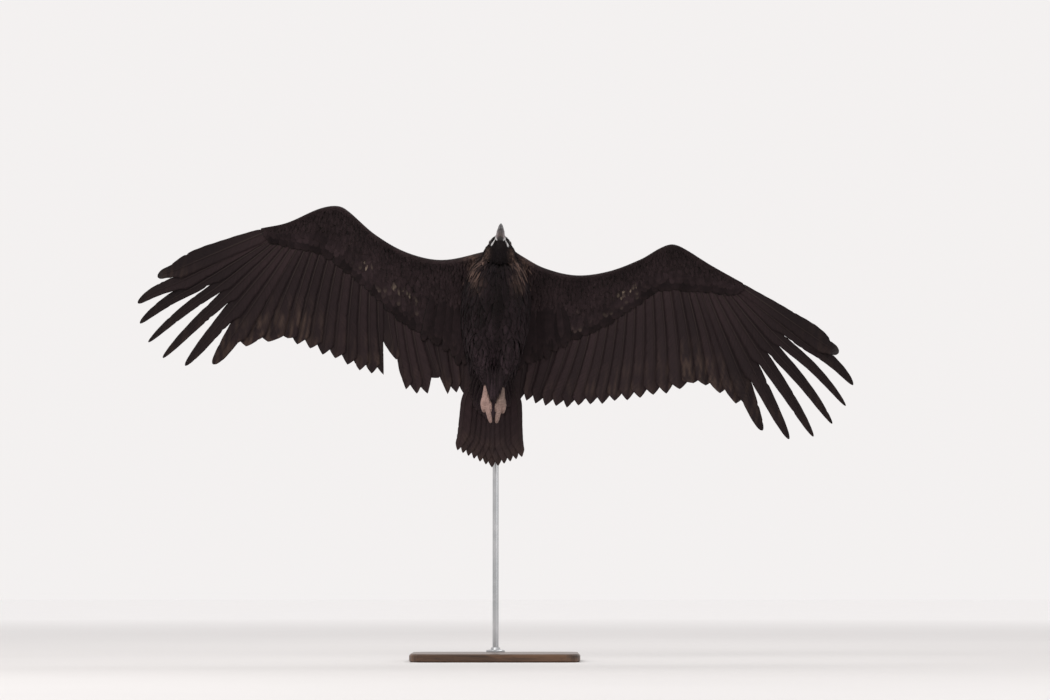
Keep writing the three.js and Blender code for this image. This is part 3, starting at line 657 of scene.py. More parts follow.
def cere_finish():
    """Waxy bare skin at the base of the bill."""
    finish = Finish("cere_wax", 0.45, Specular_IOR_Level=0.4, Subsurface_Weight=0.08)
    finish.surface.inputs["Subsurface Radius"].default_value = (0.004, 0.003, 0.003)
    finish.surface.inputs["Subsurface Scale"].default_value = 0.5
    cloud = finish.noise(240.0, 5.0)
    pores = finish.node("TexVoronoi", Vector=finish.node("TexCoord", 3), Scale=900.0)
    finish.colour(finish.graded(finish.attribute("tone"), finish.range(cloud, 0.3, 0.7, 0.8, 1.18)))
    finish.rough(finish.range(cloud, 0.3, 0.7, 0.36, 0.52))
    finish.bump(finish.math("MULTIPLY_ADD", pores, -0.5, cloud), 0.0004, 0.6)
    return finish.material


def eye_finish():
    """A brown iris round a black pupil under a wet cornea; colours follow the angle off the eye's axis."""
    finish = Finish("eye_wet", 0.1, Specular_IOR_Level=0.4, Coat_Weight=0.4, Coat_Roughness=0.03)
    off_axis, round_axis, _ = finish.lie_parts()
    spokes = (finish.math("MULTIPLY", round_axis, 9.0), finish.math("MULTIPLY", off_axis, 0.03))
    rays = finish.noise(1.0, 4.0, finish.node("CombineXYZ", X=spokes[0], Y=spokes[1]))
    iris = finish.mix(finish.range(rays, 0.3, 0.7), rgb(IRIS_DARK), rgb(IRIS_LIGHT))
    rimmed = finish.mix(finish.range(off_axis, 38, 46), iris, rgb(IRIS_RIM))
    finish.colour(finish.mix(finish.range(off_axis, 20.5, 22.5), rgb(PUPIL_BLACK), rimmed))
    return finish.material


def wood_finish():
    """Dark stained wood with its grain along the base, under satin lacquer."""
    finish = Finish("stained_walnut", 0.5, Specular_IOR_Level=0.35, Coat_Weight=0.12, Coat_Roughness=0.3)
    bent = finish.noise(2.2, 3.0, finish.stretch((1.0, 3.5, 3.5)), Distortion=0.6)
    moved = finish.node("VectorMath", i0=finish.stretch((1.2, 26.0, 26.0)), i1=bent)
    moved.node.operation = "ADD"
    rings = finish.noise(1.4, 7.0, moved, Roughness=0.62)
    pores = finish.noise(1.0, 2.0, finish.stretch((22, 700, 700)))
    grain = finish.mix(finish.range(rings, 0.36, 0.64), rgb(WALNUT_DARK), rgb(WALNUT_LIGHT))
    finish.colour(finish.mix(finish.range(pores, 0.56, 0.66, 0.0, 0.65), grain, rgb(WALNUT_PORE)))
    finish.rough(finish.range(rings, 0.3, 0.7, 0.3, 0.44))
    finish.bump(finish.math("MULTIPLY_ADD", pores, -0.6, rings), 0.0003, 0.5)
    return finish.material


def steel_finish(name, along):
    """Satin steel with fine scratches along the bar, or round it."""
    finish = Finish(name, 0.3, Metallic=1.0)
    scratches = finish.noise(1.0, 3.0, finish.stretch(along))
    cloud = finish.noise(14.0, 4.0)
    finish.colour(finish.mix(finish.range(cloud, 0.35, 0.7), rgb(STEEL_DARK), rgb(STEEL_LIGHT)))
    finish.rough(finish.range(finish.math("ADD", scratches, cloud), 0.7, 1.3, 0.24, 0.44))
    finish.bump(scratches, 0.00008, 0.5)
    return finish.material


# ---- shapes made by operators

RANKS = 10000  # more than the points of any shape sorted here


def in_order(items):
    """Sorts edges or faces by their points, since operators leave them in a new order each run."""

    def rank(item):
        a, b, *more = sorted(vert.index for vert in item.verts)
        return (a * RANKS + b) * RANKS + min(more, default=0)

    items.sort(key=rank)


def loft(rings):
    """A closed bmesh through rings of equally many points: a circle extruded from one ring to the next."""
    bm = bmesh.new()
    bmesh.ops.create_circle(bm, segments=len(rings[0]), radius=1)
    bm.verts.ensure_lookup_table()
    ring = list(bm.verts)
    edges = list(bm.edges)
    for vert, point in zip(ring, rings[0]):
        vert.co = point
    for points in rings[1:]:
        made = bmesh.ops.extrude_edge_only(bm, edges=edges)["geom"]
        fresh = {item for item in made if isinstance(item, bmesh.types.BMVert)}
        ring = [next(e.other_vert(v) for e in v.link_edges if e.other_vert(v) in fresh) for v in ring]
        edges = [e for e in made if isinstance(e, bmesh.types.BMEdge) and all(v in fresh for v in e.verts)]
        for vert, point in zip(ring, points):
            vert.co = point
    bm.verts.index_update()
    in_order(bm.edges)
    bmesh.ops.holes_fill(bm, edges=[e for e in bm.edges if e.is_boundary], sides=0)
    bmesh.ops.recalc_face_normals(bm, faces=bm.faces)
    in_order(bm.faces)
    return bm


def copied(*nodes):
    """Copies of CAD nodes, in the bird's frame, with the points that their triangles share merged."""
    bm = bmesh.new()
    for node in nodes:
        bm.from_mesh(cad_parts[node].data)
    bmesh.ops.remove_doubles(bm, verts=bm.verts, dist=0.00001)
    bm.transform(
        Matrix.Scale(1 / MM, 4) @ TO_WORLD.to_4x4().inverted() @ Matrix.Translation((0, 0, -BODY_HEIGHT * MM))
    )
    return bm


def add_shape(bm, shape):
    """Adds a shape to a bmesh, and frees it."""
    mesh = bpy.data.meshes.new("shape")
    shape.to_mesh(mesh)
    shape.free()
    bm.from_mesh(mesh)
    bpy.data.meshes.remove(mesh)


def hold(bm, name):
    mesh = bpy.data.meshes.new(name)
    bm.to_mesh(mesh)
    bm.free()
    holder = bpy.data.objects.new(name, mesh)
    bpy.context.scene.collection.objects.link(holder)
    return holder


def settle(holder):
    """The holder's mesh with its modifiers applied, in place of the one that it had."""
    bpy.context.view_layer.update()
    done = bpy.data.meshes.new_from_object(holder.evaluated_get(bpy.context.evaluated_depsgraph_get()))
    holder.modifiers.clear()
    holder.data = done
    return holder


def remeshed(bm, name, voxel, rounds):
    """One closed surface round the shapes, with even faces of the voxel's size, smoothed a few times."""
    holder = hold(bm, name)
    even = holder.modifiers.new("even", "REMESH")
    even.mode = "VOXEL"
    even.voxel_size = voxel
    soft = holder.modifiers.new("soft", "SMOOTH")
    soft.factor = 0.5
    soft.iterations = rounds
    return settle(holder)


def points_of(mesh):
    co = np.empty(len(mesh.vertices) * 3, np.float32)
    mesh.vertices.foreach_get("co", co)
    return co.reshape(-1, 3).astype(float)


def normals_of(mesh):
    out = np.empty(len(mesh.vertices) * 3, np.float32)
    mesh.vertex_normals.foreach_get("vector", out)
    return out.reshape(-1, 3).astype(float)


def move_points(mesh, points):
    mesh.vertices.foreach_set("co", points.astype(np.float32).ravel())
    mesh.update()


# ---- the head's own frame

HEAD_FORWARD = np.array([0, -math.cos(HEAD_PITCH), -math.sin(HEAD_PITCH)])
HEAD_UP = np.array([0, -math.sin(HEAD_PITCH), math.cos(HEAD_PITCH)])


def head_coordinates(points):
    """Forward along the head, up from its axis, and out to the bird's left."""
    d = points - HEAD_START
    return d @ HEAD_FORWARD, d @ HEAD_UP, d[..., 0]


def head_point(forward, up, out):
    return HEAD_START + forward * HEAD_FORWARD + up * HEAD_UP + out * np.array([1, 0, 0])


def eye_middle(side):
    return head_point(EYE_AT[0], EYE_AT[1], side * EYE_AT[2])


def eye_axis(side):
    return unit(EYE_LEAD * HEAD_FORWARD - EYE_DROOP * HEAD_UP + np.array([side, 0, 0]))


def eye_angles(points, side):
    """Distance from one eye's middle, and angles in degrees off its axis: in all, forwards and up."""
    axis = eye_axis(side)
    fore = unit(HEAD_FORWARD - (HEAD_FORWARD @ axis) * axis)
    upward = np.cross(axis, fore) * side
    d = points - eye_middle(side)
    far = np.linalg.norm(d, axis=-1)
    turn = np.degrees(np.arccos(np.clip((d @ axis) / np.maximum(far, 1e-6), -1, 1)))
    flat = np.stack([d @ fore, d @ upward], -1)
    flat = flat / np.maximum(np.linalg.norm(flat, axis=-1, keepdims=True), 1e-6)
    return far, turn, turn * flat[..., 0], turn * flat[..., 1]


def eye_ring(points, side):
    """Distance and angle from an eye, and how far out of its opening a point lies: 1 at the lids."""
    far, turn, fore, upward = eye_angles(points, side)
    ring = (np.abs(fore / 44) ** 1.8 + np.abs(upward / 35) ** 1.8) ** (1 / 1.8)
    return far, turn, ring


def elevation(u, o):
    """The angle in degrees round the head's axis, from its sides up."""
    return np.degrees(np.arctan2(u, np.abs(o)))


def bare_share(points):
    """How bare the head is: the orbit, the lores, the pale strip along the jaw and the sides of the nape."""
    f, u, o = head_coordinates(points)
    around = elevation(u, o)
    jaw = hill((around + 35, 9.5), power=4) * ease(f, 50, 66)
    nape = 0.75 * hill((around - 22, 22)) * ease(f, 34, 12) * ease(f, -24, -6)
    orbit = np.zeros(len(points))
    for side in (-1, 1):
        far, turn, ring = eye_ring(points, side)
        orbit = np.maximum(orbit, ease(ring, 1.9, 1.45) * ease(far, 22, 16) * (turn < 100))
    base = ease(f, 80, 83) * ease(around, -62, -50)
    return np.clip(np.maximum.reduce([jaw, nape, orbit, base]), 0, 1) * ease(np.abs(o), 72, 62)


def sculpt_head(points, normals):
    """Eye openings with lids, brows, the gape's fold, ear hollows and fine wrinkles."""
    f, u, o = head_coordinates(points)
    on_head = ease(f, -12, 4)
    around = elevation(u, o)
    brow = hill((f - 65, 11), (around - 46, 14))
    lore = hill((f - 74, 7), (around - 8, 20))
    gape = hill((u + 19 + 0.25 * (84 - f), 1.8)) * ease(f, 56, 64) * ease(np.abs(o), 5, 13)
    flange = hill((u + 15 + 0.25 * (84 - f), 2.2)) * ease(f, 56, 64) * ease(np.abs(o), 5, 13)
    ear = hill((f - 26, 5), (u + 1, 6.5))
    temple = hill((f - 44, 9), (around - 18, 16))
    out = 4.4 * brow - 2.2 * lore - 1.6 * gape + 1.3 * flange - 2.2 * ear - 1.2 * temple
    waves = np.sin(2 * math.pi * (f + 2.0 * mottle(points, 30, 5)) / 4.2)
    folds = waves * ease(f, 66, 74) * ease(around, 60, 40)
    out += 0.35 * folds * ease(np.abs(o), 4, 12)
    points = points + normals * (out * on_head)[:, None]
    for side in (-1, 1):
        far, turn, ring = eye_ring(points, side)
        lid = EYE_RADIUS + 0.7 + 0.6 * hill((ring - 1.12, 0.13))
        waves = 0.28 * np.sin(2 * math.pi * (ring - 1.0) / 0.32)
        creases = waves * ease(ring, 1.25, 1.4) * ease(ring, 2.3, 1.9)
        target = np.where(ring < 1, EYE_RADIUS - 1.8, lid)
        wall = target + (far - target) * ease(ring, 1.15, 2.35) + creases
        near = (turn < 95) & (far < 24) & (ring < 2.4)
        outward = (points - eye_middle(side)) / np.maximum(far, 1e-6)[:, None]
        moved = points + outward * (wall - far)[:, None]
        points = np.where(near[:, None], moved, points)
    return points


# ---- the skin

BODY_VOXEL, HEAD_VOXEL, FOOT_VOXEL = 5.5, 1.8, 1.6
leg_sway = smooth([[60, 0], [240, 9], [290, 9], [370, 14]])


def coat_depth(points):
    """How far the skin lies inside the solids, for the feathers over it."""
    y = points[:, 1]
    trunk = smooth([[-222, 8], [-190, 11], [-120, 15], [120, 15], [200, 9], [285, 5]])(y)
    leg = ease(-points[:, 2], 40, 70) * ease(y, 20, 60)
    thigh = smooth([[60, 15], [160, 14], [215, 7], [245, 2]])(y)
    return trunk * (1 - leg) + thigh * leg


def trunk_skin():
    """Trunk, neck and thighs, with cores that run on into the feet."""
    bm = copied("trunk", "neck", "thigh_left", "thigh_right")
    along = np.linspace(225, 268, 8)
    turns = np.linspace(0, 2 * math.pi, 12, endpoint=False)
    circle = np.stack([np.cos(turns), 0 * turns, np.sin(turns)], -1)
    for side in (-1, 1):
        x = side * 26.5 + leg_sway(along)
        middles = np.stack([x, along, -75 - 0.06 * (along - 232)], -1)
        add_shape(bm, loft([middle + circle * 9.5 for middle in middles]))
    holder = remeshed(bm, "trunk_skin", BODY_VOXEL, 6)
    mesh = holder.data
    points = points_of(mesh)
    move_points(mesh, points - normals_of(mesh) * coat_depth(points)[:, None])
    return holder


def head_skin():
    """Head and eyes as one surface, with finer faces round the eyes, and sculpted."""
    holder = remeshed(copied("head", "eye_left", "eye_right"), "head_skin", HEAD_VOXEL, 6)
    bm = bmesh.new()
    bm.from_mesh(holder.data)
    for reach in (19, 15):
        bm.verts.ensure_lookup_table()
        places = np.array([vert.co for vert in bm.verts])
        near = np.zeros(len(places), bool)
        for side in (-1, 1):
            far, turn, _ = eye_ring(places, side)
            near |= (far < reach) & (turn < 75)
        edges = [edge for edge in bm.edges if all(near[vert.index] for vert in edge.verts)]
        bmesh.ops.subdivide_edges(bm, edges=edges, cuts=1, use_grid_fill=True)
        bmesh.ops.triangulate(bm, faces=[face for face in bm.faces if len(face.verts) > 4])
    bm.to_mesh(holder.data)
    bm.free()
    mesh = holder.data
    points = points_of(mesh)
    f = head_coordinates(points)[0]
    depth = 3.2 * (1 - 0.85 * bare_share(points)) * ease(f, 84, 76)
    normals = normals_of(mesh)
    points = sculpt_head(points - normals * depth[:, None], normals)
    move_points(mesh, points)
    return holder


def scutes(points, normals):
    """Rows of raised plates along the front of the toes and round the shanks."""
    rows = np.sin(2 * math.pi * (points[:, 1] + 0.25 * points[:, 2]) / 6.5)
    plates = np.maximum(rows, -0.25) * ease(-normals[:, 2], -0.1, 0.6)
    grains = mottle(points, 5.0, 31) * 0.25
    return points + normals * (0.55 * plates + grains)[:, None]


def foot_skin(label):
    holder = remeshed(copied(f"tarsus_{label}", f"foot_{label}"), f"foot_skin_{label}", FOOT_VOXEL, 5)
    mesh = holder.data
    move_points(mesh, scutes(points_of(mesh), normals_of(mesh)))
    return holder


def wing_skin(wing):
    """The fleshy arm and hand: flattened rings from inside the trunk out to the hand's end."""
    rings = []
    around = np.linspace(0, 2 * math.pi, 22, endpoint=False)
    shares = 0.5 - 0.5 * np.cos(around)
    ups = np.where(around < math.pi, 1, -1)
    for x in np.linspace(46, FLESH_END - 12, 56):
        lead, lining = wing.lead(x), wing.lining(x)
        chord = lining - lead
        inner = ease(x, 135, 50)
        y = lead + 2 + (chord - 4) * shares
        full = wing.flesh(x) * np.sqrt(np.minimum(shares / 0.06, 1)) * wing.fullness(shares)
        half = np.maximum(full / 2 + 3 * ease(shares, 0, 0.8) - 3.2, 0.9)
        half = half * (np.sin(around) != 0) * (1 - 0.45 * inner)
        z = wing.height(np.full_like(y, x), y) + ups * half
        rings.append(np.stack([np.full_like(y, wing.side * x), y, z], -1))
    return hold(loft(np.array(rings)), f"wing_skin_{wing.label}")


def united(holder, others):
    """One closed surface round the holder's shape and the others."""
    for other in others:
        join = holder.modifiers.new("join", "BOOLEAN")
        join.operation = "UNION"
        join.solver = "MANIFOLD"
        join.object = other
    settle(holder)
    for other in others:
        bpy.data.objects.remove(other)
    return holder


def soften(mesh, mask, rounds):
    """Smooths the masked points only, such as where two shapes were joined."""
    bm = bmesh.new()
    bm.from_mesh(mesh)
    bm.verts.ensure_lookup_table()
    chosen = [bm.verts[i] for i in np.flatnonzero(mask)]
    for _ in range(rounds):
        bmesh.ops.smooth_vert(
            bm, verts=chosen, factor=0.5, use_axis_x=True, use_axis_y=True, use_axis_z=True
        )
    bm.to_mesh(mesh)
    bm.free()


def skin_tone(points):
    """Black-brown under the feathers, with bluish bare skin on the head and pinkish feet; the bird's left
    foot is made greyer and darker by painted shade.
    """
    f = head_coordinates(points)[0]
    cloud = mottle(points, 60, 3)
    tone = BLACK_BROWN * (1.1 + 0.3 * cloud)[:, None]
    on_head = ease(f, -30, -10)
    bare = bare_share(points) * ease(f, 16, 28)
    blue = BARE_BLUE * (1 + 0.12 * mottle(points, 9, 8, 2))[:, None]
    orbit = np.zeros(len(points))
    for side in (-1, 1):
        far, turn, ring = eye_ring(points, side)
        orbit = np.maximum(orbit, ease(ring, 1.9, 1.5) * (far < 20) * (turn < 95))
    blue = blend(blue, ORBIT_DARK, orbit)
    tone = blend(tone * (1 - 0.4 * on_head)[:, None], blue, bare)
    scaly = ease(points[:, 1], 214, 224) * ease(-points[:, 2], 44, 54)
    # Painted shade: the bird's left foot is blended towards grey, more up the shank than on the toes.
    side = ease(points[:, 0], 5, 15)
    foot = blend(FOOT_PINK, FOOT_SHADE_GREY, side * (0.4 + 0.5 * ease(points[:, 1], 330, 270)))
    foot = foot * (1 + 0.16 * mottle(points, 11, 12, 2))[:, None]
    return blend(tone, foot, scaly)


def tree_of(mesh):
    """The mesh as a tree, to find the nearest place on it."""
    bm = bmesh.new()
    bm.from_mesh(mesh)
    tree = BVHTree.FromBMesh(bm)
    bm.free()
    return tree


def make_skin(wings, material):
    """The whole skin, with trees of it and of the trunk alone in the bird's frame."""
    skin = trunk_skin()
    bare_trunk = skin.data.copy()
    parts = [head_skin(), foot_skin("left"), foot_skin("right")]
    skin = united(skin, parts + [wing_skin(wing) for wing in wings])
    mesh = skin.data
    mesh.name = skin.name = "vulture_skin"
    points = points_of(mesh)
    f = head_coordinates(points)[0]
    seam = (f > -16) & (f < 9) | (np.abs(points[:, 1] - 238) < 7) & (points[:, 2] < -45)
    soften(mesh, seam, 8)
    trees = tree_of(mesh), tree_of(bare_trunk)
    covered = ["trunk", "neck", "head"]
    covered += [
        f"{node}_{label}"
        for label in ("left", "right")
        for node in ("thigh", "tarsus", "foot", "upper_arm", "forearm", "hand")
    ]
    finished(skin, material, skin_tone, "foot_skin", covered)
    return skin, *trees


def finished(holder, material, tone_of, slot, nodes, shape=None, lie_of_points=None):
    """Makes a piece of a shape in the bird's frame: sculpted, painted, mapped and placed."""
    mesh = holder.data
    if shape:
        move_points(mesh, shape(points_of(mesh), normals_of(mesh)))
    points = points_of(mesh)
    paint(mesh, tone_of(points))
    if lie_of_points is not None:
        mark_lie(mesh, lie_of_points(points))
    move_points(mesh, to_world(points))
    mesh.materials.clear()
    mesh.materials.append(material)
    mesh.polygons.foreach_set("use_smooth", np.ones(len(mesh.polygons), bool))
    unwrap(holder)
    add_piece(holder, slot, *nodes)


def unwrap(piece):
    """An unwrap of the piece's own shape, for baking."""
    piece.data.uv_layers.new(name="OFBake")
    bpy.context.view_layer.objects.active = piece
    bpy.ops.object.select_all(action="DESELECT")
    piece.select_set(True)
    bpy.ops.object.mode_set(mode="EDIT")
    bpy.ops.mesh.select_all(action="SELECT")
    bpy.ops.uv.smart_project(angle_limit=math.radians(66), island_margin=0.002)
    bpy.ops.object.mode_set(mode="OBJECT")


def map_reader(skin, tree):
    """A function from points in the bird's frame to places on the skin's map, spread over all of it."""
    mesh = skin.data
    uv = np.empty(len(mesh.loops) * 2, np.float32)
    mesh.uv_layers["OFBake"].data.foreach_get("uv", uv)
    starts = np.empty(len(mesh.polygons), np.int32)
    mesh.polygons.foreach_get("loop_start", starts)
    sizes = np.empty(len(mesh.polygons), np.int32)
    mesh.polygons.foreach_get("loop_total", sizes)
    middles = np.add.reduceat(uv.reshape(-1, 2), starts, axis=0) / sizes[:, None]

    def place(points):
        faces = np.array([tree.find_nearest(Vector(point))[2] for point in points])
        at = middles[faces]
        low, high = at.min(0), at.max(0)
        return 0.01 + 0.98 * (at - low) / np.maximum(high - low, 1e-6)

    return place


# ---- flight feathers

VANE_STATIONS = 60
# A vane's columns, from its inner to its outer edge. The middle three are the shaft's sides and crest.
VANE_COLUMNS = np.array([-1, -0.75, -0.5, -0.25, 0, 0, 0, 0.25, 0.5, 0.75, 1])
SHAFT_SIDES = np.array([0, 0, 0, 0, -1, 0, 1, 0, 0, 0, 0])
SHAFT_CREST = np.array([0, 0, 0, 0, 0, 1, 0, 0, 0, 0, 0])


def vane_faces():
    """Faces of a closed vane with upper and under sides that share their edges."""
    wide = len(VANE_COLUMNS)
    top = np.arange(VANE_STATIONS * wide).reshape(VANE_STATIONS, wide)
    under = top + VANE_STATIONS * wide
    faces = []
    for r in range(VANE_STATIONS - 1):
        for c in range(wide - 1):
            faces.append((top[r, c], top[r, c + 1], top[r + 1, c + 1], top[r + 1, c]))
            faces.append((under[r, c], under[r + 1, c], under[r + 1, c + 1], under[r, c + 1]))
        faces.append((top[r, 0], top[r + 1, 0], under[r + 1, 0], under[r, 0]))
        faces.append((top[r, -1], under[r, -1], under[r + 1, -1], top[r + 1, -1]))
    for r, flip in ((0, False), (VANE_STATIONS - 1, True)):
        for c in range(wide - 1):
            face = (top[r, c], under[r, c], under[r, c + 1], top[r, c + 1])
            faces.append(face[::-1] if flip else face)
    return faces


def frayed(widths, draw):
    """Slightly uneven vane edges with a few splits between the barbs."""
    count, stations = widths.shape
    share = np.linspace(0, 1, stations)
    for n in range(count):
        waves = np.sin(share * draw.uniform(20, 34) + draw.uniform(0, 6))
        widths[n] *= 1 + 0.012 * (waves + np.sin(share * draw.uniform(55, 80)))
        for _ in range(draw.integers(1, 4)):
            at = draw.integers(int(stations * 0.3), stations - 4)
            widths[n, at] *= 1 - draw.uniform(0.04, 0.13)
    return widths


def vane_piece(name, centre, outward, z_of, widths, shaft, material, side, shade):
    """Vanes along their middle lines, with widths to the outer and inner edge; each laps its neighbour."""
    count = len(centre)
    outer, inner = widths
    a = VANE_COLUMNS
    across = np.where(a > 0, outer[..., None] * a, inner[..., None] * a) + shaft[..., None] * SHAFT_SIDES
    plan = centre[:, :, None] + outward[:, :, None] * across[..., None]
    reach = np.maximum(outer, inner)[..., None]
    tilt = across / 20.0
    sag = -1.6 * (across / np.maximum(reach, 1)) ** 2
    level = z_of(plan[..., 0], plan[..., 1]) + tilt + sag
    quill = shaft[..., None] * SHAFT_CREST
    thick = 0.28 + 0.1 * (1 - a * a)
    layers = []
    for up, ridge in ((1, 0.75), (-1, 1.05)):
        layers.append(np.concatenate([plan, (level + up * (thick + quill * ridge))[..., None]], -1))
    points = np.stack(layers, 1).reshape(count, -1, 3) * [side, 1, 1]
    along = np.stack([travelled(line) for line in centre])
    lie = np.stack([across, *(np.broadcast_to(held[..., None], across.shape) for held in (along, shaft))], -1)
    lie = np.concatenate([lie.reshape(count, -1, 3)] * 2, 1)
    share = np.broadcast_to((along / along[:, -1:])[..., None], across.shape)
    faces = points.reshape(count, 2, -1, 3)
    tones = [shade(faces[:, k], share.reshape(count, -1), up) for k, up in ((0, 1), (1, -1))]
    strip = 0.98 / (2 * count)
    u = (a + 1) / 2 * 0.86 + 0.02 * SHAFT_SIDES + 0.07
    places = []
    for layer in range(2):
        first = 0.01 + (np.arange(count) * 2 + layer) * strip
        place = np.empty((*across.shape, 2))
        place[..., 0] = first[:, None, None] + strip * u
        place[..., 1] = 0.02 + 0.96 * share
        places.append(place.reshape(count, -1, 2))
    tone, places = np.concatenate(tones, 1), np.concatenate(places, 1)
    return mesh_piece(name, points, vane_faces(), material, tone, lie, places)


def middle_line(points, bend_rounds=6):
    """A line of evenly spaced points through the given ones, its corners eased."""
    points = np.asarray(points, float)
    step = travelled(points)
    at = step[-1] * (1 - (1 - np.linspace(0, 1, VANE_STATIONS)) ** 1.25)
    line = np.stack([np.interp(at, step, points[:, k]) for k in range(2)], -1)
    for _ in range(bend_rounds):
        line[1:-1] = (line[:-2] + 2 * line[1:-1] + line[2:]) / 4
    return line


def wing_vanes(wing, draw):
    """Middle lines, outward directions, widths, shafts and lifts of one wing's flight feathers."""
    rows = []
    for n in range(wing.feathers):
        m = 2 * n + 1
        start, end, tip = wing.start[m], wing.end[m], wing.tips[n]
        free = n < FINGERS
        axis = unit(tip - end) if free else unit(tip - start)
        normal = beside(axis)
        length = np.linalg.norm(tip - end) if free else 0.0
        head = unit(end - start)
        pull = min(38.0, np.linalg.norm(start - wing.roots[n]) * 0.9)
        line = [start - head * pull, start]
        if free:
            for t in np.linspace(0, 1, 24):
                bow = (0.06 - 0.012 * n) * length * math.sin(math.pi * t)
                line.append(end + axis * length * t + normal * bow)
        else:
            bend = 0.02 * np.linalg.norm(tip - start)
            for t in np.linspace(0.15, 1, 12):
                line.append(start + (tip - start) * t + normal * bend * math.sin(math.pi * t))
        centre = middle_line(line)
        outward = beside(unit(np.gradient(centre, axis=0)))
        gone = (centre - tip) @ axis
        total = np.linalg.norm(np.diff(centre, axis=0), axis=1).sum()
        left = total - travelled(centre)
        sides = []
        for k, lap in ((m - 1, 1.12), (m + 1, 1.6)):
            border_start, border_end = wing.start[k], wing.end[k]
            near = abs((border_start - start) @ beside(head))
            far = abs((border_end - (end if free else tip)) @ normal)
            stop = -((border_end - tip) @ axis)
            reach = np.maximum(left, 0)
            whole = total - pull
            share = np.clip((whole - reach) / max(whole - stop, 1), 0, 1)
            width = np.maximum(near + (far - near) * share, 7)
            if free:
                t = np.clip(1 - reach / max(stop, 1), 0, 1)
                finger = far * (1 - 0.42 * t) * np.sqrt(np.maximum(1 - t**5 * 0.985, 0))
                lapped = width * (1 + (lap - 1) * ease(reach, stop + 4, stop + 42))
                width = np.where(reach > stop, lapped, finger)
                if n == 0 and k == 0:
                    edge = centre[:, 1] - wing.lead(centre[:, 0])
                    cut = np.maximum(edge * np.abs(outward[:, 1]), 5)
                    width = np.where(reach > stop, np.minimum(cut, 40), width)
            else:
                fall = (stop * 1.62) if lap > 1.3 else (stop * 1.3)
                width = width * lap * np.clip(reach / max(fall, 12), 0, 1) ** 0.82
            rooted = 0.25 + 0.75 * ease(total - left, 0, pull + 18)
            sides.append(width * rooted)
        shaft = np.interp(left, [0, 60, total], [0.35, 0.9, 2.6 if n < PRIMARIES else 2.0])
        lift = FINGER_LIFT[n] * np.clip(1 + gone / max(length, 1), 0, 1) ** 2 if free else 0 * gone
        rows.append((centre, outward, *sides, shaft, lift))
    centre, outward, outer, inner, shaft, lift = map(np.array, zip(*rows))
    return centre, outward, (frayed(outer, draw), frayed(inner, draw)), shaft, lift


def make_flight_feathers(wing, material, draw):
    """One wing's flight feathers as one piece: dark vanes, worn and browner towards some of the tips."""
    centre, outward, widths, shaft, lift = wing_vanes(wing, draw)
    count = len(centre)
    tones = QUILL_GREY * draw.uniform(0.8, 1.18, (count, 1))
    worn = draw.uniform(0.1, 0.55, count)
    worn[PRIMARIES - 4 : PRIMARIES + 1] += 0.7
    tones[SECONDARIES + PRIMARIES - 4 :] *= 1.22

    def z_of(x, y):
        return wing.height(x, y) + lift[..., None]

    def shade(points, share, up):
        base = tones[:, None] * (0.82 if up > 0 else 1.0)
        streak = np.clip(0.35 + 1.5 * mottle(points * [1, 0.15, 1], 20, 17), 0, 1.7)
        warm = ease(share, 0.5, 1.0) * worn[:, None] * streak
        colours = blend(base, WORN_BROWN, np.clip(warm, 0, 1) * 0.7)
        inner = np.tile(np.where(VANE_COLUMNS < 0, 1.14, 0.92), VANE_STATIONS)
        pale = 1 + 0.4 * ease(share, 0.4, 0.1) * (up < 0)
        dark = 1 - 0.25 * ease(share, 0.3, 0.6) * (np.arange(count) < FINGERS)[:, None]
        return colours * (inner * pale * dark)[..., None]

    name = f"flight_feathers_{wing.label}"
    piece = vane_piece(name, centre, outward, z_of, widths, shaft, material, wing.side, shade)
    stood_for = ["primaries", "secondaries", "tertials"] + [f"finger_{n + 1}" for n in range(FINGERS)]
    add_piece(piece, "flight_feathers", *[f"{node}_{wing.label}" for node in stood_for])


tail_half = smooth([[150, 85], [280, 104], [420, 115], [500, 130]])


def tail_sway(y):
    return 0.3 * TAIL_SWAY * (y - TAIL_ROOT) / (TAIL_REACH - TAIL_ROOT)


def tail_height(x, y):
    """The height of the tail's middle surface, which drops towards its end and its sides."""
    return TAIL_HEIGHT - TAIL_DROP * (y - TAIL_ROOT) / (TAIL_REACH - TAIL_ROOT) - TAIL_ARCH * x * x


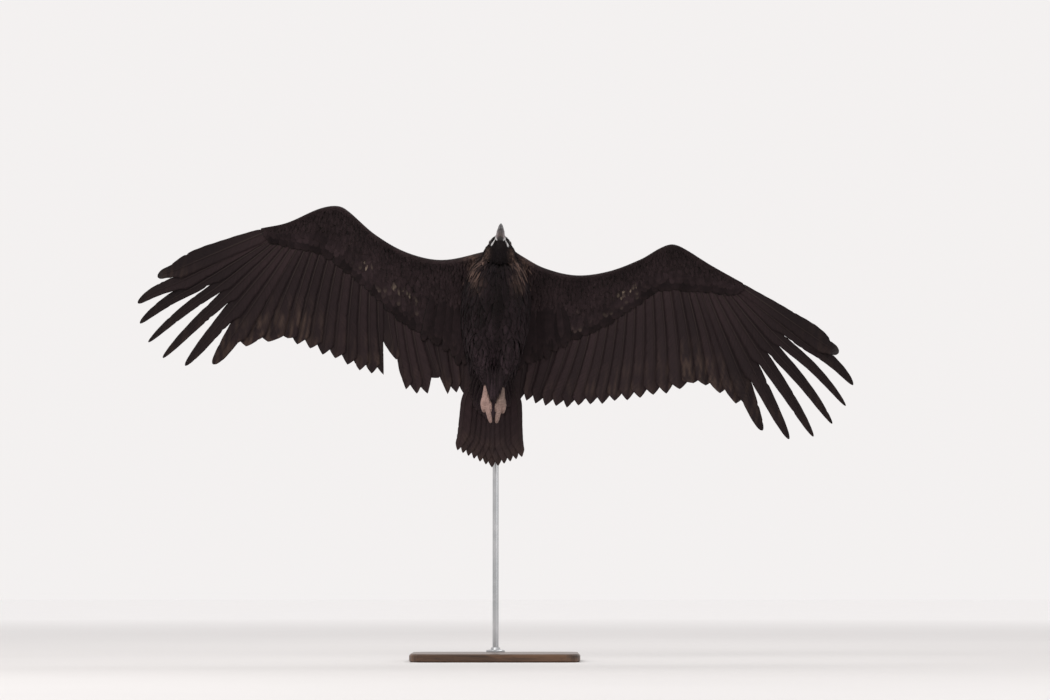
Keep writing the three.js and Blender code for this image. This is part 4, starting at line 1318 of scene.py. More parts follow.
def make_tail(material, draw):
    """Twelve tail feathers with pointed, worn tips; each laps over its outer neighbour."""
    rows = []
    for k in range(TAIL_FEATHERS):
        across = (2 * k + 1) / TAIL_FEATHERS - 1
        side = 1 if across > 0 else -1
        reach = TAIL_REACH - TAIL_WEDGE * abs(across * 128 - TAIL_SWAY)
        ys = np.linspace(178, reach, 16)
        spread = 0.45 + 0.55 * ease(ys, 150, 300)
        line = np.stack([across * tail_half(ys) * spread + tail_sway(ys), ys], -1)
        centre = middle_line(line, 2)
        outward = beside(unit(np.gradient(centre, axis=0))) * side
        left = np.linalg.norm(centre - centre[-1], axis=1)
        rooted = 0.3 + 0.7 * ease(left.max() - left, 0, 60)
        outer = 13 * rooted * np.clip(left / 24, 0, 1) ** 0.7
        inner = 31 * rooted * np.clip(left / 58, 0, 1) ** 0.8
        shaft = np.interp(left, [0, 50, 330], [0.35, 0.8, 2.2])
        stack = 0.75 * (TAIL_FEATHERS / 2 - abs(k - (TAIL_FEATHERS - 1) / 2)) - 3.5
        rows.append((centre, outward, outer, inner, shaft, stack))
    centre, outward, outer, inner, shaft, stack = map(np.array, zip(*rows))
    widths = (frayed(outer, draw), frayed(inner, draw))
    stack = stack[:, None, None]
    tones = QUILL_GREY * 1.42 * draw.uniform(0.85, 1.15, (len(centre), 1))

    def z_of(x, y):
        return tail_height(x, y) + stack

    def shade(points, share, up):
        warm = ease(share, 0.6, 1.0) * (0.6 + 0.4 * mottle(points, 50, 23))
        colours = blend(tones[:, None] * (0.85 if up > 0 else 1), WORN_BROWN, warm * 0.5)
        return colours * (1 + 0.1 * mottle(points, 30, 29))[..., None]

    piece = vane_piece("tail_feathers", centre, outward, z_of, widths, shaft, material, 1, shade)
    add_piece(piece, "flight_feathers", "tail")


# ---- coverts


def along_line(points, spacing, draw, offset=0.0):
    """Evenly spaced places along a dense line, as shares of its points, shaken a little."""
    step = travelled(points)
    count = max(int(step[-1] / spacing), 2)
    at = (np.arange(count) + 0.5 + offset) / count * step[-1] + draw.normal(0, 0.1 * spacing, count)
    return np.interp(np.clip(at, 0, step[-1]), step, np.arange(len(points)))


def row_on_wing(wing, share, spacing, draw, offset):
    """Roots, headings, chords and stations of a row of feathers at one share of the chord."""
    s = np.linspace(1.5, len(wing.start) - 1, 400)
    front, rear, heading = wing.station(s)
    root = front + (rear - front) * share
    picked = along_line(root, spacing, draw, offset)
    at = np.interp(picked, np.arange(len(s)), s)
    front, rear, heading = wing.station(at)
    chord = np.linalg.norm(rear - front, axis=-1)
    root = front + (rear - front) * share
    across = unit(rear - front + 1e-6)
    heading = unit(blend(across, heading, np.full(len(at), 0.3 + 0.7 * share)))
    return root, heading, chord, at


def turned(heading, degrees):
    turn = np.radians(degrees)
    c, s = np.cos(turn), np.sin(turn)
    return np.stack([heading[:, 0] * c - heading[:, 1] * s, heading[:, 0] * s + heading[:, 1] * c], -1)


class Coat:
    """Feathers gathered for one piece, all of one shape."""

    def __init__(self, blade):
        self.blade = blade
        self.parts = []

    def add(self, points, tone, length, width):
        self.parts.append((points, tone, length, width))

    def piece(self, name, material, slot, skin_map, draw, nodes):
        points, tone, length, width = (np.concatenate(column) for column in zip(*self.parts))
        lie = lie_of(self.blade, length, width, draw)
        places = tuft_places(points, self.blade, skin_map)
        made = mesh_piece(name, points, self.blade.faces, material, tone, lie, places)
        add_piece(made, slot, *nodes)


# Greater and median rows: share of the chord, where they stop, reach beyond it, spacing, width over spacing.
ROWS_ABOVE = [(0.80, 1.0, 70, 23, 2.0), (0.66, 1.0, 34, 20, 1.9), (0.56, 1.0, 4, 17, 1.8)]
ROWS_BELOW = [(0.78, 1.0, 30, 23, 1.9), (0.66, 1.0, 6, 19, 1.8), (0.56, 0.92, 0, 16, 1.8)]
# The tightest rows round the leading edge: distance from it and length.
EDGE_ROWS = [(0.0, 15), (1.2, 16), (3.4, 18), (7.0, 20)]
# Two rows of long feathers at the wing's root. The pairs hold at the rows' inner and outer ends.
SHOULDER = {
    "out": [78, 190], "back": [-60, -100], "length": [165, 120], "turn": [4, 14],
    "gap": 46, "unevenness": 5, "shorter": 0, "shade": 1.0, "rim": 0.35,
}
ARMPIT = {
    "out": [88, 232], "back": [-40, -78], "length": [205, 150], "turn": [2, 9],
    "gap": 34, "unevenness": 4, "shorter": 22, "shade": 0.72, "rim": 0.1,
}


class WingFace:
    """One face of a wing, and its feathers from the leading edge to the flight feathers."""

    def __init__(self, wing, up, draw):
        self.wing, self.up, self.draw = wing, up, draw
        self.small, self.large = Coat(BROAD), Coat(LARGE)
        self.last_line = len(wing.start) + 0.9

    def place(self, coat, root, heading, length, width, lift, tone, **more):
        points = wing_blades(self.wing, self.up, root, heading, length, width, coat.blade, lift, **more)
        coat.add(points, tone, length, width)

    def tone(self, roots, dark=1.0):
        """Dark brown with soft mottling, a little darker above, and warm beside the neck."""
        count, draw = len(roots), self.draw
        place = np.concatenate([roots, np.zeros((count, 1))], 1) * [self.wing.side, 1, 1]
        mottled = dark * draw.uniform(0.75, 1.3, count) * (1 + 0.25 * mottle(place, 150, 41))
        tone = COVERT_BROWN * (0.9 if self.up > 0 else 1.0) * mottled[:, None]
        neck_side = hill((roots[:, 0] - 88, 26), (roots[:, 1] + 218, 22))
        return blend(tone, RUFF_BROWN * 0.75, np.clip(neck_side * draw.uniform(0.2, 1.1, count), 0, 1))

    def greater_rows(self):
        draw, up = self.draw, self.up
        for k, (share, stop, beyond, spacing, wide) in enumerate(ROWS_ABOVE if up > 0 else ROWS_BELOW):
            root, heading, chord, s = row_on_wing(self.wing, share, spacing, draw, 0.25 * (k % 2))
            count = len(root)
            length = (stop - share) * chord + beyond * ease(s, 0.5, 6) + 10
            length = np.maximum(length, 26) * draw.uniform(0.93, 1.07, count)
            width = spacing * wide * draw.uniform(0.92, 1.08, count)
            heading = turned(heading, draw.normal(0, 2.5, count))
            tone = self.tone(root, 0.6 if k == 0 and up < 0 else 1.0)
            tint = shaded(tone, LARGE, 0.8, 1.0, 0.35 if up > 0 else 0.12, WORN_BROWN * 0.9)
            if up < 0 and k > 0:
                chance = draw.uniform(0, 1, count) < 0.35
                fleck = ease(root[:, 0], 270, 320) * ease(root[:, 0], 560, 480) * chance
                spot = hill((LARGE.along - 0.9, 0.1), (LARGE.across - 0.2, 0.5))
                tint = blend(tint, CREAM, fleck[:, None] * spot[None] * draw.uniform(0.02, 0.16, (count, 1)))
            lift = (-1.0 - 0.2 * k, 1.4 + 0.6 * k)
            bow = draw.normal(0, 0.03, count)
            self.place(self.large, root, heading, length, width, lift, tint, bow=bow, curl=-0.6)

    def lesser_rows(self):
        """Rows a fixed distance apart, from the leading edge to the median row."""
        draw, up, wing = self.draw, self.up, self.wing
        pitch, spacing = 10.0, 10.0
        dense = np.linspace(1.2, self.last_line, 700)
        front, rear, _ = wing.station(dense)
        depth = np.linalg.norm(rear - front, axis=-1)
        for row in itertools.count():
            distance = 3.0 + pitch * row
            held = np.flatnonzero(distance < 0.60 * depth)
            if len(held) < 12:
                break
            line = front[held] + unit(rear[held] - front[held]) * distance
            picked = along_line(line, spacing, draw, 0.5 * (row % 2))
            at = dense[held][0] + np.interp(picked, np.arange(len(held)), dense[held] - dense[held][0])
            f, r, h = wing.station(at)
            root = f + unit(r - f) * distance
            chord = np.linalg.norm(r - f, axis=-1)
            share = np.clip(distance / chord, 0, 1)
            heading = unit(blend(unit(r - f), h, 0.25 + 0.6 * share))
            heading = turned(heading, draw.normal(0, 8, len(at)))
            length = np.interp(distance, [0, 30, 120], [25, 38, 50]) * draw.uniform(0.8, 1.2, len(at))
            length = np.minimum(length, 12 + 0.55 * chord)
            width = length * draw.uniform(0.42, 0.54, len(at))
            tint = shaded(self.tone(root), BROAD, 0.75, 1.08, 0.4 if up > 0 else 0.16, WORN_BROWN * 0.8)
            if up < 0:
                fleck = ease(share, 0.42, 0.5) * ease(root[:, 0], 280, 330) * ease(root[:, 0], 570, 480)
                flat = np.stack([root[:, 0], root[:, 1], 0 * chord], -1)
                clump = ease(mottle(flat, 45, 43), -0.05, 0.3)
                spot = hill((BROAD.along - 0.82, 0.2), (BROAD.across - 0.1, 0.7))
                pale = draw.uniform(0, 0.8, (len(at), 1)) ** 2
                tint = blend(tint, CREAM, (fleck * clump)[:, None] * spot[None] * pale)
            bow = draw.normal(0, 0.05, len(at))
            self.place(self.small, root, heading, length, width, (-0.6, 1.9), tint, bow=bow)

    def edge_rows(self):
        """The tightest feathers, wrapped round the leading edge."""
        draw, wing = self.draw, self.wing
        dense = np.linspace(1.0, self.last_line, 600)
        front, rear, _ = wing.station(dense)
        for k, (distance, size) in enumerate(EDGE_ROWS):
            line = front + unit(rear - front) * distance
            at = np.interp(along_line(line, 6.0, draw, 0.33 * k), np.arange(len(dense)), dense)
            f, r, _ = wing.station(at)
            inward = unit(r - f + 1e-6)
            root = f + inward * distance
            ahead, _, _ = wing.station(at - 0.1)
            edgeward = unit(ahead - f + [1e-6, 0])
            heading = unit(blend(edgeward, inward, np.full(len(at), 0.12 + 0.09 * k)))
            heading = turned(heading, draw.normal(0, 4, len(at)))
            length = size * draw.uniform(0.85, 1.15, len(at))
            tint = shaded(self.tone(root), BROAD, 0.85, 1.1, 0.2, WORN_BROWN)
            self.place(self.small, root, heading, length, length * 0.5, (0.0, 0.9), tint)

    def root_rows(self):
        """Long feathers from the armpit below, or the shoulder above."""
        draw = self.draw
        plan = ARMPIT if self.up < 0 else SHOULDER
        each, count = 13, 26
        column, row = np.arange(count) % each, np.arange(count) // each
        x = np.interp(column, [0, each - 1], plan["out"]) + draw.normal(0, 3, count)
        level = np.interp(x, plan["out"], plan["back"]) + plan["gap"] * row
        root = np.stack([x, level + draw.normal(0, plan["unevenness"], count)], -1)
        length = np.interp(x, plan["out"], plan["length"]) * draw.uniform(0.9, 1.05, count)
        length = length - plan["shorter"] * row
        turn = -np.interp(x, plan["out"], plan["turn"]) + draw.normal(0, 2, count)
        heading = turned(np.tile([[0.0, 1.0]], (count, 1)), turn)
        tint = shaded(self.tone(root, plan["shade"]), LARGE, 0.8, 1.0, plan["rim"], WORN_BROWN)
        width = draw.uniform(30, 38, count)
        bow = draw.normal(0, 0.02, count)
        self.place(self.large, root, heading, length, width, (1.0, 4.5), tint, bow=bow)


def make_coverts(wing, up, material, skin_map, draw):
    face = WingFace(wing, up, draw)
    face.greater_rows()
    face.lesser_rows()
    face.edge_rows()
    face.root_rows()
    label = ("upper" if up > 0 else "under") + f"_{wing.label}"
    nodes = [f"{node}_{wing.label}" for node in ("hand", "forearm", "upper_arm")]
    face.small.piece(f"coverts_lesser_{label}", material, "wing_coverts", skin_map, draw, nodes)
    face.large.piece(f"coverts_greater_{label}", material, "wing_coverts", skin_map, draw, nodes)


# ---- body feathers


TRAIL_STATIONS = 6  # along each line that a feather is laid on


class Hide:
    """The skin as a place to root feathers, and the surfaces that they are laid along."""

    def __init__(self, skin, tree, trunk_tree, skin_map):
        mesh = skin.data
        mesh.calc_loop_triangles()
        corners = np.empty(len(mesh.loop_triangles) * 3, np.int32)
        mesh.loop_triangles.foreach_get("vertices", corners)
        self.corners = to_bird(points_of(mesh))[corners.reshape(-1, 3)]
        self.middles = self.corners.mean(1)
        cross = np.cross(self.corners[:, 1] - self.corners[:, 0], self.corners[:, 2] - self.corners[:, 0])
        self.areas = np.linalg.norm(cross, axis=1) / 2
        self.tree, self.trunk_tree, self.skin_map = tree, trunk_tree, skin_map

    def scatter(self, wanted, pitch, draw):
        """Random points on the skin, none nearer to another than the pitch, thinned by the wanted share."""
        weight = self.areas * np.clip(wanted(self.middles), 0, 1)
        count = int(weight.sum() / pitch**2 * 6)
        faces = draw.choice(len(weight), count, p=weight / weight.sum())
        a, b = draw.uniform(0, 1, (2, count))
        a, b = np.where(a + b > 1, 1 - a, a), np.where(a + b > 1, 1 - b, b)
        first, second, third = np.moveaxis(self.corners[faces], 1, 0)
        points = first + (second - first) * a[:, None] + (third - first) * b[:, None]
        cells, kept = {}, []
        around = [(i, j, k) for i in (-1, 0, 1) for j in (-1, 0, 1) for k in (-1, 0, 1)]
        for n, (point, cell) in enumerate(zip(points, np.floor(points / pitch).astype(int))):
            near = (m for i, j, k in around for m in cells.get((cell[0] + i, cell[1] + j, cell[2] + k), ()))
            if all(((points[m] - point) ** 2).sum() > pitch * pitch for m in near):
                cells.setdefault(tuple(cell), []).append(n)
                kept.append(n)
        return points[kept]

    def on_trunk(self, points):
        """Which of the points lie on the trunk's part of the skin."""
        return np.array([self.trunk_tree.find_nearest(Vector(point))[3] < 1.5 for point in points])

    def trail(self, tree, roots, headings, length):
        """Lines along the surface from the roots, with the surface's direction outwards at each station."""
        lines = np.empty((len(roots), TRAIL_STATIONS, 3))
        outs = np.empty_like(lines)
        for n, (root, heading, reach) in enumerate(zip(roots, headings, length)):
            at, out, _, _ = tree.find_nearest(Vector(root))
            ahead = Vector(heading)
            for k in range(TRAIL_STATIONS):
                if k:
                    at, out, _, _ = tree.find_nearest(at + ahead * (reach / (TRAIL_STATIONS - 1)))
                ahead = (ahead - out * ahead.dot(out)).normalized()
                lines[n, k], outs[n, k] = at, out
        outs[:, 1:-1] = (outs[:, :-2] + outs[:, 1:-1] + outs[:, 2:]) / 3
        return lines, unit(outs)


def laid_blades(lines, outs, length, width, blade, lift, bow, curl=0.0, thick=BLADE_THICKNESS, camber=0.06):
    """Feathers along lines on the body, which rise early from their roots and then lie level."""
    place = blade.along * (TRAIL_STATIONS - 1)
    i = np.minimum(place.astype(int), TRAIL_STATIONS - 2)
    t = place - i
    at = blend(lines[:, i], lines[:, i + 1], t)
    out = unit(blend(outs[:, i], outs[:, i + 1], t))
    ahead = unit(np.gradient(lines, axis=1))
    aside = np.cross(unit(blend(ahead[:, i], ahead[:, i + 1], t)), out)
    u, a = blade.along, blade.across
    off = width[:, None] / 2 * blade.width * a + np.reshape(bow, (-1, 1)) * length[:, None] * u**2
    low, high = np.reshape(lift[0], (-1, 1)), np.reshape(lift[1], (-1, 1))
    rise = low + (high - low) * (1 - (1 - u) ** 2) + np.reshape(curl, (-1, 1)) * u**3
    rise = rise + camber * width[:, None] * blade.width * (1 - a * a) + blade.layer * thick
    return at + aside * off[..., None] + out * rise[..., None]


def leaning(headings, share, draw):
    """Headings turned a little at random."""
    return unit(headings + draw.normal(0, share, headings.shape))


def body_tone(points, draw):
    """Black-brown with soft lengthwise streaks, browner on the back."""
    count = len(points)
    base = blend(BLACK_BROWN * 1.12, COVERT_BROWN * 0.85, ease(points[:, 2], 20, 70))
    streak = 1 + 0.4 * mottle(points * [1, 0.25, 1], 55, 61, 2)
    x, y, z = points.T
    belly = ease(y, -70, 120) * ease(-z, 0, 50)
    base = base * (1 + belly)[:, None]
    crop = hill((x, 42), power=4) * ease(-z, 20, 60) * ease(y, 0, -70)
    side = hill((np.abs(x) - 58, 17)) * ease(y, -105, -160) * ease(-z, -20, 20)
    base = blend(base * (1 - 0.4 * crop)[:, None], RUFF_BROWN * 0.6, side * draw.uniform(0.1, 0.8, count))
    return base * (streak * draw.uniform(0.78, 1.28, count))[:, None]


def ruff_tone(points, draw):
    """Brown streaks at the sides and behind, and a dark crop in front."""
    count = len(points)
    x, y, z = points.T
    crop = hill((x, 41), power=6) * ease(z, 20, -20)
    brown = blend(RUFF_DARK, RUFF_BROWN, np.clip(draw.normal(0.5, 0.3, count), 0, 1))
    brown = brown * (1 + 0.3 * mottle(points, 30, 71))[:, None]
    brown = blend(brown, RUFF_DARK * 0.8, ease(y, -182, -152))
    brown = blend(brown, COVERT_BROWN, 0.8 * ease(np.abs(x), 72, 108))
    return blend(brown, BLACK_BROWN * 0.9, crop)


def coat_piece(hide, draw, name, blade, laid, length, width, lift, tone, material, slot, nodes, **more):
    """One piece of feathers of one shape, each laid along its line on the body."""
    coat = Coat(blade)
    coat.add(laid_blades(*laid, length, width, blade, lift, **more), tone, length, width)
    coat.piece(name, material, slot, hide.skin_map, draw, nodes)


def make_body_plumage(hide, material, draw):
    """The feathers of trunk and thighs, which leave room where the rod enters."""

    def wanted(p):
        inside = (p[:, 1] > -196) & (p[:, 1] < 268) & (np.abs(p[:, 0]) < 150)
        return inside & ~((p[:, 2] < -50) & (p[:, 1] > 200))

    roots = hide.scatter(wanted, 10.0, draw)
    roots = roots[hide.on_trunk(roots)]
    axis = TURN.T @ np.array([0.0, 1.0, 0.0])
    from_rod = np.linalg.norm(roots - (roots @ axis)[:, None] * axis, axis=1)
    roots = roots[(from_rod > ROD_CLEARANCE) | (roots[:, 2] < 0)]
    x, y, z = roots.T
    count = len(x)
    leg = ease(-z, 52, 78) * ease(y, 20, 70)
    radial = np.stack([x, 0 * x, z], -1) / 90 * (1 - leg)[:, None]
    heading = leaning([0, 1, 0] + radial - np.outer(leg, [0, 0, 0.1]), 0.08, draw)
    front = ease(y, -150, -190)
    length = (57 - 26 * leg * ease(y, 110, 200) - 10 * front) * draw.uniform(0.82, 1.18, count)
    width = (20 - 2 * leg - 3 * front) * draw.uniform(0.82, 1.18, count)
    depth = coat_depth(roots)
    lift = (0.36 * depth, np.clip(0.7 * depth * draw.uniform(0.92, 1.1, count), 1.5, 12))
    tone = shaded(body_tone(roots, draw), BROAD, 0.78, 1.1, 0.15, WORN_BROWN * 0.6)
    bow = draw.normal(0, 0.04, count)
    laid = hide.trail(hide.trunk_tree, roots, heading, length)
    coat_piece(
        hide, draw, "body_feathers", BROAD, laid, length, width, lift, tone, material, "body_plumage",
        ["trunk", "thigh_left", "thigh_right"], bow=bow, camber=0.035,
    )


def make_trousers(hide, material, draw):
    """Longer feathers that hang down in a wedge between the shanks."""
    count = 36
    for side, label in SIDES:
        across = np.linspace(-3, 27, count) + draw.normal(0, 0.7, count)
        begin = draw.uniform(158, 196, count)
        stop = 293 - 2.1 * np.maximum(across - 3, 0) + draw.normal(0, 3, count)
        inward = np.abs(36 - (across + 7))
        deep = -75 - np.sqrt(np.maximum(27**2 - inward**2, 4))
        share = np.linspace(0, 1, TRAIL_STATIONS)
        y = begin[:, None] + (stop - begin)[:, None] * share
        x = side * (across[:, None] + 7 * (1 - share)) + leg_sway(y)
        z = deep[:, None] + (-97 - deep)[:, None] * ease(share, 0, 0.5)
        lines = np.stack([x, y, z], -1)
        laid = lines, np.tile([0.0, 0.0, -1.0], (count, TRAIL_STATIONS, 1))
        length, width = stop - begin, draw.uniform(9, 13, count)
        lift = (draw.uniform(0.0, 2.0, count), draw.uniform(1.0, 4.0, count))
        tone = shaded(body_tone(lines[:, 0], draw), LANCE, 0.8, 1.1, 0.15, WORN_BROWN * 0.6)
        coat_piece(
            hide, draw, f"trouser_feathers_{label}", LANCE, laid, length, width, lift, tone, material,
            "body_plumage", [f"thigh_{label}"], bow=draw.normal(0, 0.03, count),
        )


def make_ruff(hide, material, draw):
    """Long lances round the neck and on to the shoulders, standing out from the body."""

    def wanted(p):
        f = head_coordinates(p)[0]
        return (f < 13) & (p[:, 1] < -158) & (p[:, 1] > -238) & (np.abs(p[:, 0]) < 118)

    every = hide.scatter(wanted, 7.0, draw)
    on_neck = hide.on_trunk(every)
    for part, chosen, tree in (("neck", on_neck, hide.trunk_tree), ("shoulder", ~on_neck, hide.tree)):
        roots = every[chosen]
        x, y, z = roots.T
        out = ease(np.abs(x), 100, 60)
        away = np.stack([x / 70 * out + 0.1 * np.sign(x), 1 + 0 * x, (z + 4) / 70 * out], -1)
        heading = leaning(away, 0.09, draw)
        length = np.interp(y, [-230, -158], [60, 84]) * draw.uniform(0.8, 1.15, len(x))
        lines, outs = hide.trail(tree, roots, heading, length)
        gone = lines[:, -1] - lines[:, 0]
        kept = (gone[:, 1] > 0.6 * length) & (np.abs(gone[:, 0]) < 0.6 * length)
        kept &= lines[:, 1, 1] > lines[:, 0, 1]
        x, z, roots, length = x[kept], z[kept], roots[kept], length[kept]
        count = len(x)
        laid = lines[kept], outs[kept]
        width = draw.uniform(7.5, 11, count)
        close = 0.3 + 0.7 * ease(np.abs(x), 100, 62)
        lift = (draw.uniform(0.5, 2.0, count), close * (draw.uniform(7, 11, count) + 3 * ease(z, 0, 40)))
        tone = shaded(ruff_tone(roots, draw), LANCE, 0.65, 1.3)
        coat_piece(
            hide, draw, f"ruff_feathers_{part}", LANCE, laid, length, width, lift, tone, material,
            "neck_ruff", ["neck"], bow=draw.normal(0, 0.06, count), curl=draw.uniform(-1, 2, count),
        )


def make_head_down(hide, material, draw):
    """Short tufts on the head and throat, clear of the bare skin round the eyes and along the jaw."""

    def wanted(p):
        f, _, o = head_coordinates(p)
        clear = 1 - bare_share(p) * ease(f, 16, 28)
        for side in (-1, 1):
            far, turn, ring = eye_ring(p, side)
            clear = clear * np.where((far < 22) & (turn < 100), ease(ring, 1.7, 2.0), 1)
        return (f > -26) & (f < 83) & (np.abs(o) < 66) & (p[:, 1] < -200) & (clear > 0.3)

    roots = hide.scatter(wanted, 2.5, draw)
    f, u, o = head_coordinates(roots)
    count = len(f)
    away = -HEAD_FORWARD + np.outer(u / 110, HEAD_UP) + np.outer(o / 110, [1, 0, 0])
    heading = leaning(away, 0.16, draw)
    length = np.interp(f, [-26, 10, 60, 83], [27, 16, 8, 4.5]) * draw.uniform(0.8, 1.25, count)
    width = np.interp(f, [-26, 10, 83], [5.6, 4.2, 2.6]) * draw.uniform(0.85, 1.2, count)
    raised = np.interp(f, [-26, 10, 60, 83], [8.5, 4.6, 2.3, 1.1]) * draw.uniform(0.8, 1.25, count)
    crown = ease(u, 14, 40) * ease(f, 66, 30)
    tone = blend(DOWN_BLACK, RUFF_DARK * 1.15, crown * 0.85)
    cheek = hill((elevation(u, o) + 30, 14)) * ease(f, 62, 40) * ease(f, -20, 0)
    tone = blend(tone, RUFF_BROWN * 1.5, cheek * draw.uniform(0.0, 1.0, count))
    tone = tone * draw.uniform(0.7, 1.35, (count, 1))
    lines, outs = hide.trail(hide.tree, roots, heading, length)
    run = np.linalg.norm(lines[:, -1] - lines[:, 0], axis=1)
    kept = (run > 0.68 * length) | (f > 25)  # tufts that bunch up in the crease of the neck are left out
    laid, length, width, lift = (lines[kept], outs[kept]), length[kept], width[kept], (0.1, raised[kept])
    coat_piece(
        hide, draw, "head_down", DOWNY, laid, length, width, lift, shaded(tone[kept], DOWNY, 0.8, 1.25),
        material, "head_down", ["head"], bow=draw.normal(0, 0.12, len(length)), thick=0.3,
    )


def trunk_level(y, x, up):
    """The trunk's surface over the tail's root."""
    above, below = [62, 42, 27, 13], [69, 50, 36, 17]
    half, reach, middle = (
        smooth(np.stack([[170, 215, 250, 285], sizes], -1))(y)
        for sizes in ([93, 77, 60, 36], above if up > 0 else below, [8, 16, 24, 32])
    )
    return middle + up * (reach * np.sqrt(np.maximum(1 - (x / half) ** 2, 0)) - 4)


TAIL_COVERT_ROWS = [(196, 66, 92), (212, 62, 98), (230, 54, 100), (247, 46, 98), (262, 36, 92), (275, 24, 84)]


def make_tail_coverts(hide, material, draw):
    """Long soft feathers that run from the trunk on to the tail, above and below."""
    coat = Coat(LARGE)
    t, a = LARGE.along, LARGE.across
    for up in (-1, 1):
        for y0, half, reach in TAIL_COVERT_ROWS:
            count = int(2 * half / 11)
            x = (np.arange(count) + 0.5) / count * 2 * half - half + draw.normal(0, 1.5, count)
            y = y0 + draw.normal(0, 3, count) - 10 * (x / half) ** 2
            length = reach * draw.uniform(0.88, 1.1, count) * (1 - 0.12 * (x / half) ** 2)
            length = length * (1.0 if up < 0 else 0.85)
            width = draw.uniform(22, 27, count)
            spread = x / half * draw.uniform(0.10, 0.2, count)
            reached = length[:, None] * t
            py = y[:, None] + reached
            px = x[:, None] + spread[:, None] * reached + width[:, None] / 2 * LARGE.width * a + tail_sway(py)
            root = trunk_level(y, np.clip(x, -half, half), up)
            lie = tail_height(px, py) + up * (5.5 + 2.5 * t)
            z = root[:, None] + (lie - root[:, None]) * ease(t, 0.0, 0.75)
            z = z + up * (1.2 * (1 - a * a) + LARGE.layer * 0.4)
            tone = body_tone(np.stack([x, y, np.full(count, up * 40.0)], -1), draw)
            tint = shaded(tone, LARGE, 0.75, 1.1, 0.25, WORN_BROWN * 0.8)
            coat.add(np.stack([px, py, z], -1), tint, length, width)
    coat.piece("tail_coverts", material, "body_plumage", hide.skin_map, draw, ["trunk", "tail"])


# ---- bill, cere, eyes and claws

# Sections [forward, middle's height, half width, half depth, slope] along the head's axis.
UPPER_BILL = [
    [84.5, 3, 14.5, 20, 0], [97, 4, 13.5, 19.7, 6], [110, 2.4, 11.8, 18.6, 18], [122, -2, 9.4, 16.3, 32],
    [131, -9, 6.8, 12.8, 50], [136, -18, 4.7, 8.7, 68], [138, -27, 3.1, 5, 82], [138, -34.5, 1.0, 1.6, 88],
]
LOWER_BILL = [
    [82, -18.6, 12.4, 6.2, 0], [98, -18.6, 10.8, 6.4, 2], [110, -18.4, 8.6, 6.0, 6],
    [119, -17.6, 5.8, 4.8, 12], [126, -16.4, 2.6, 2.4, 18],
]
CERE = [
    [79, 0.5, 19.2, 25.5, 0], [84, 1.2, 18.4, 24.2, 0], [90, 2.8, 15.8, 21.4, 2], [98, 4.0, 14.3, 20.3, 7],
    [105, 3.2, 13.6, 19.5, 13], [109.5, 2.5, 12.5, 18.5, 17],
]


def bill_rings(sections, steps, sides, ridge=0.0, corner=1.0):
    """Rings through bill sections: a ridge sharpens the top, and a corner under 1 squares the lower edge."""
    table = np.array(sections, float)
    at = np.linspace(0, len(table) - 1, steps)
    columns = [smooth(np.stack([np.arange(len(table)), table[:, k]], -1))(at) for k in range(5)]
    turns = np.linspace(0, 2 * math.pi, sides, endpoint=False)
    c, s = np.cos(turns), np.sin(turns)
    width = np.where(s > 0, c * np.abs(c) ** ridge, np.sign(c) * np.abs(c) ** corner)
    height = np.where(s > 0, s, -(np.abs(s) ** corner))
    across = np.array([1.0, 0, 0])
    rings = []
    for forward, middle, half, depth, slope in zip(*columns):
        pitch = HEAD_PITCH + math.radians(slope)
        rise = np.array([0, -math.sin(pitch), math.cos(pitch)])
        centre = head_point(forward, middle, 0)
        rings.append(centre + np.outer(width * half, across) + np.outer(height * depth, rise))
    return rings


def subdivided(bm, name):
    """The shape with each face divided once and rounded."""
    holder = hold(bm, name)
    fine = holder.modifiers.new("fine", "SUBSURF")
    fine.levels = fine.render_levels = 1
    return settle(holder)


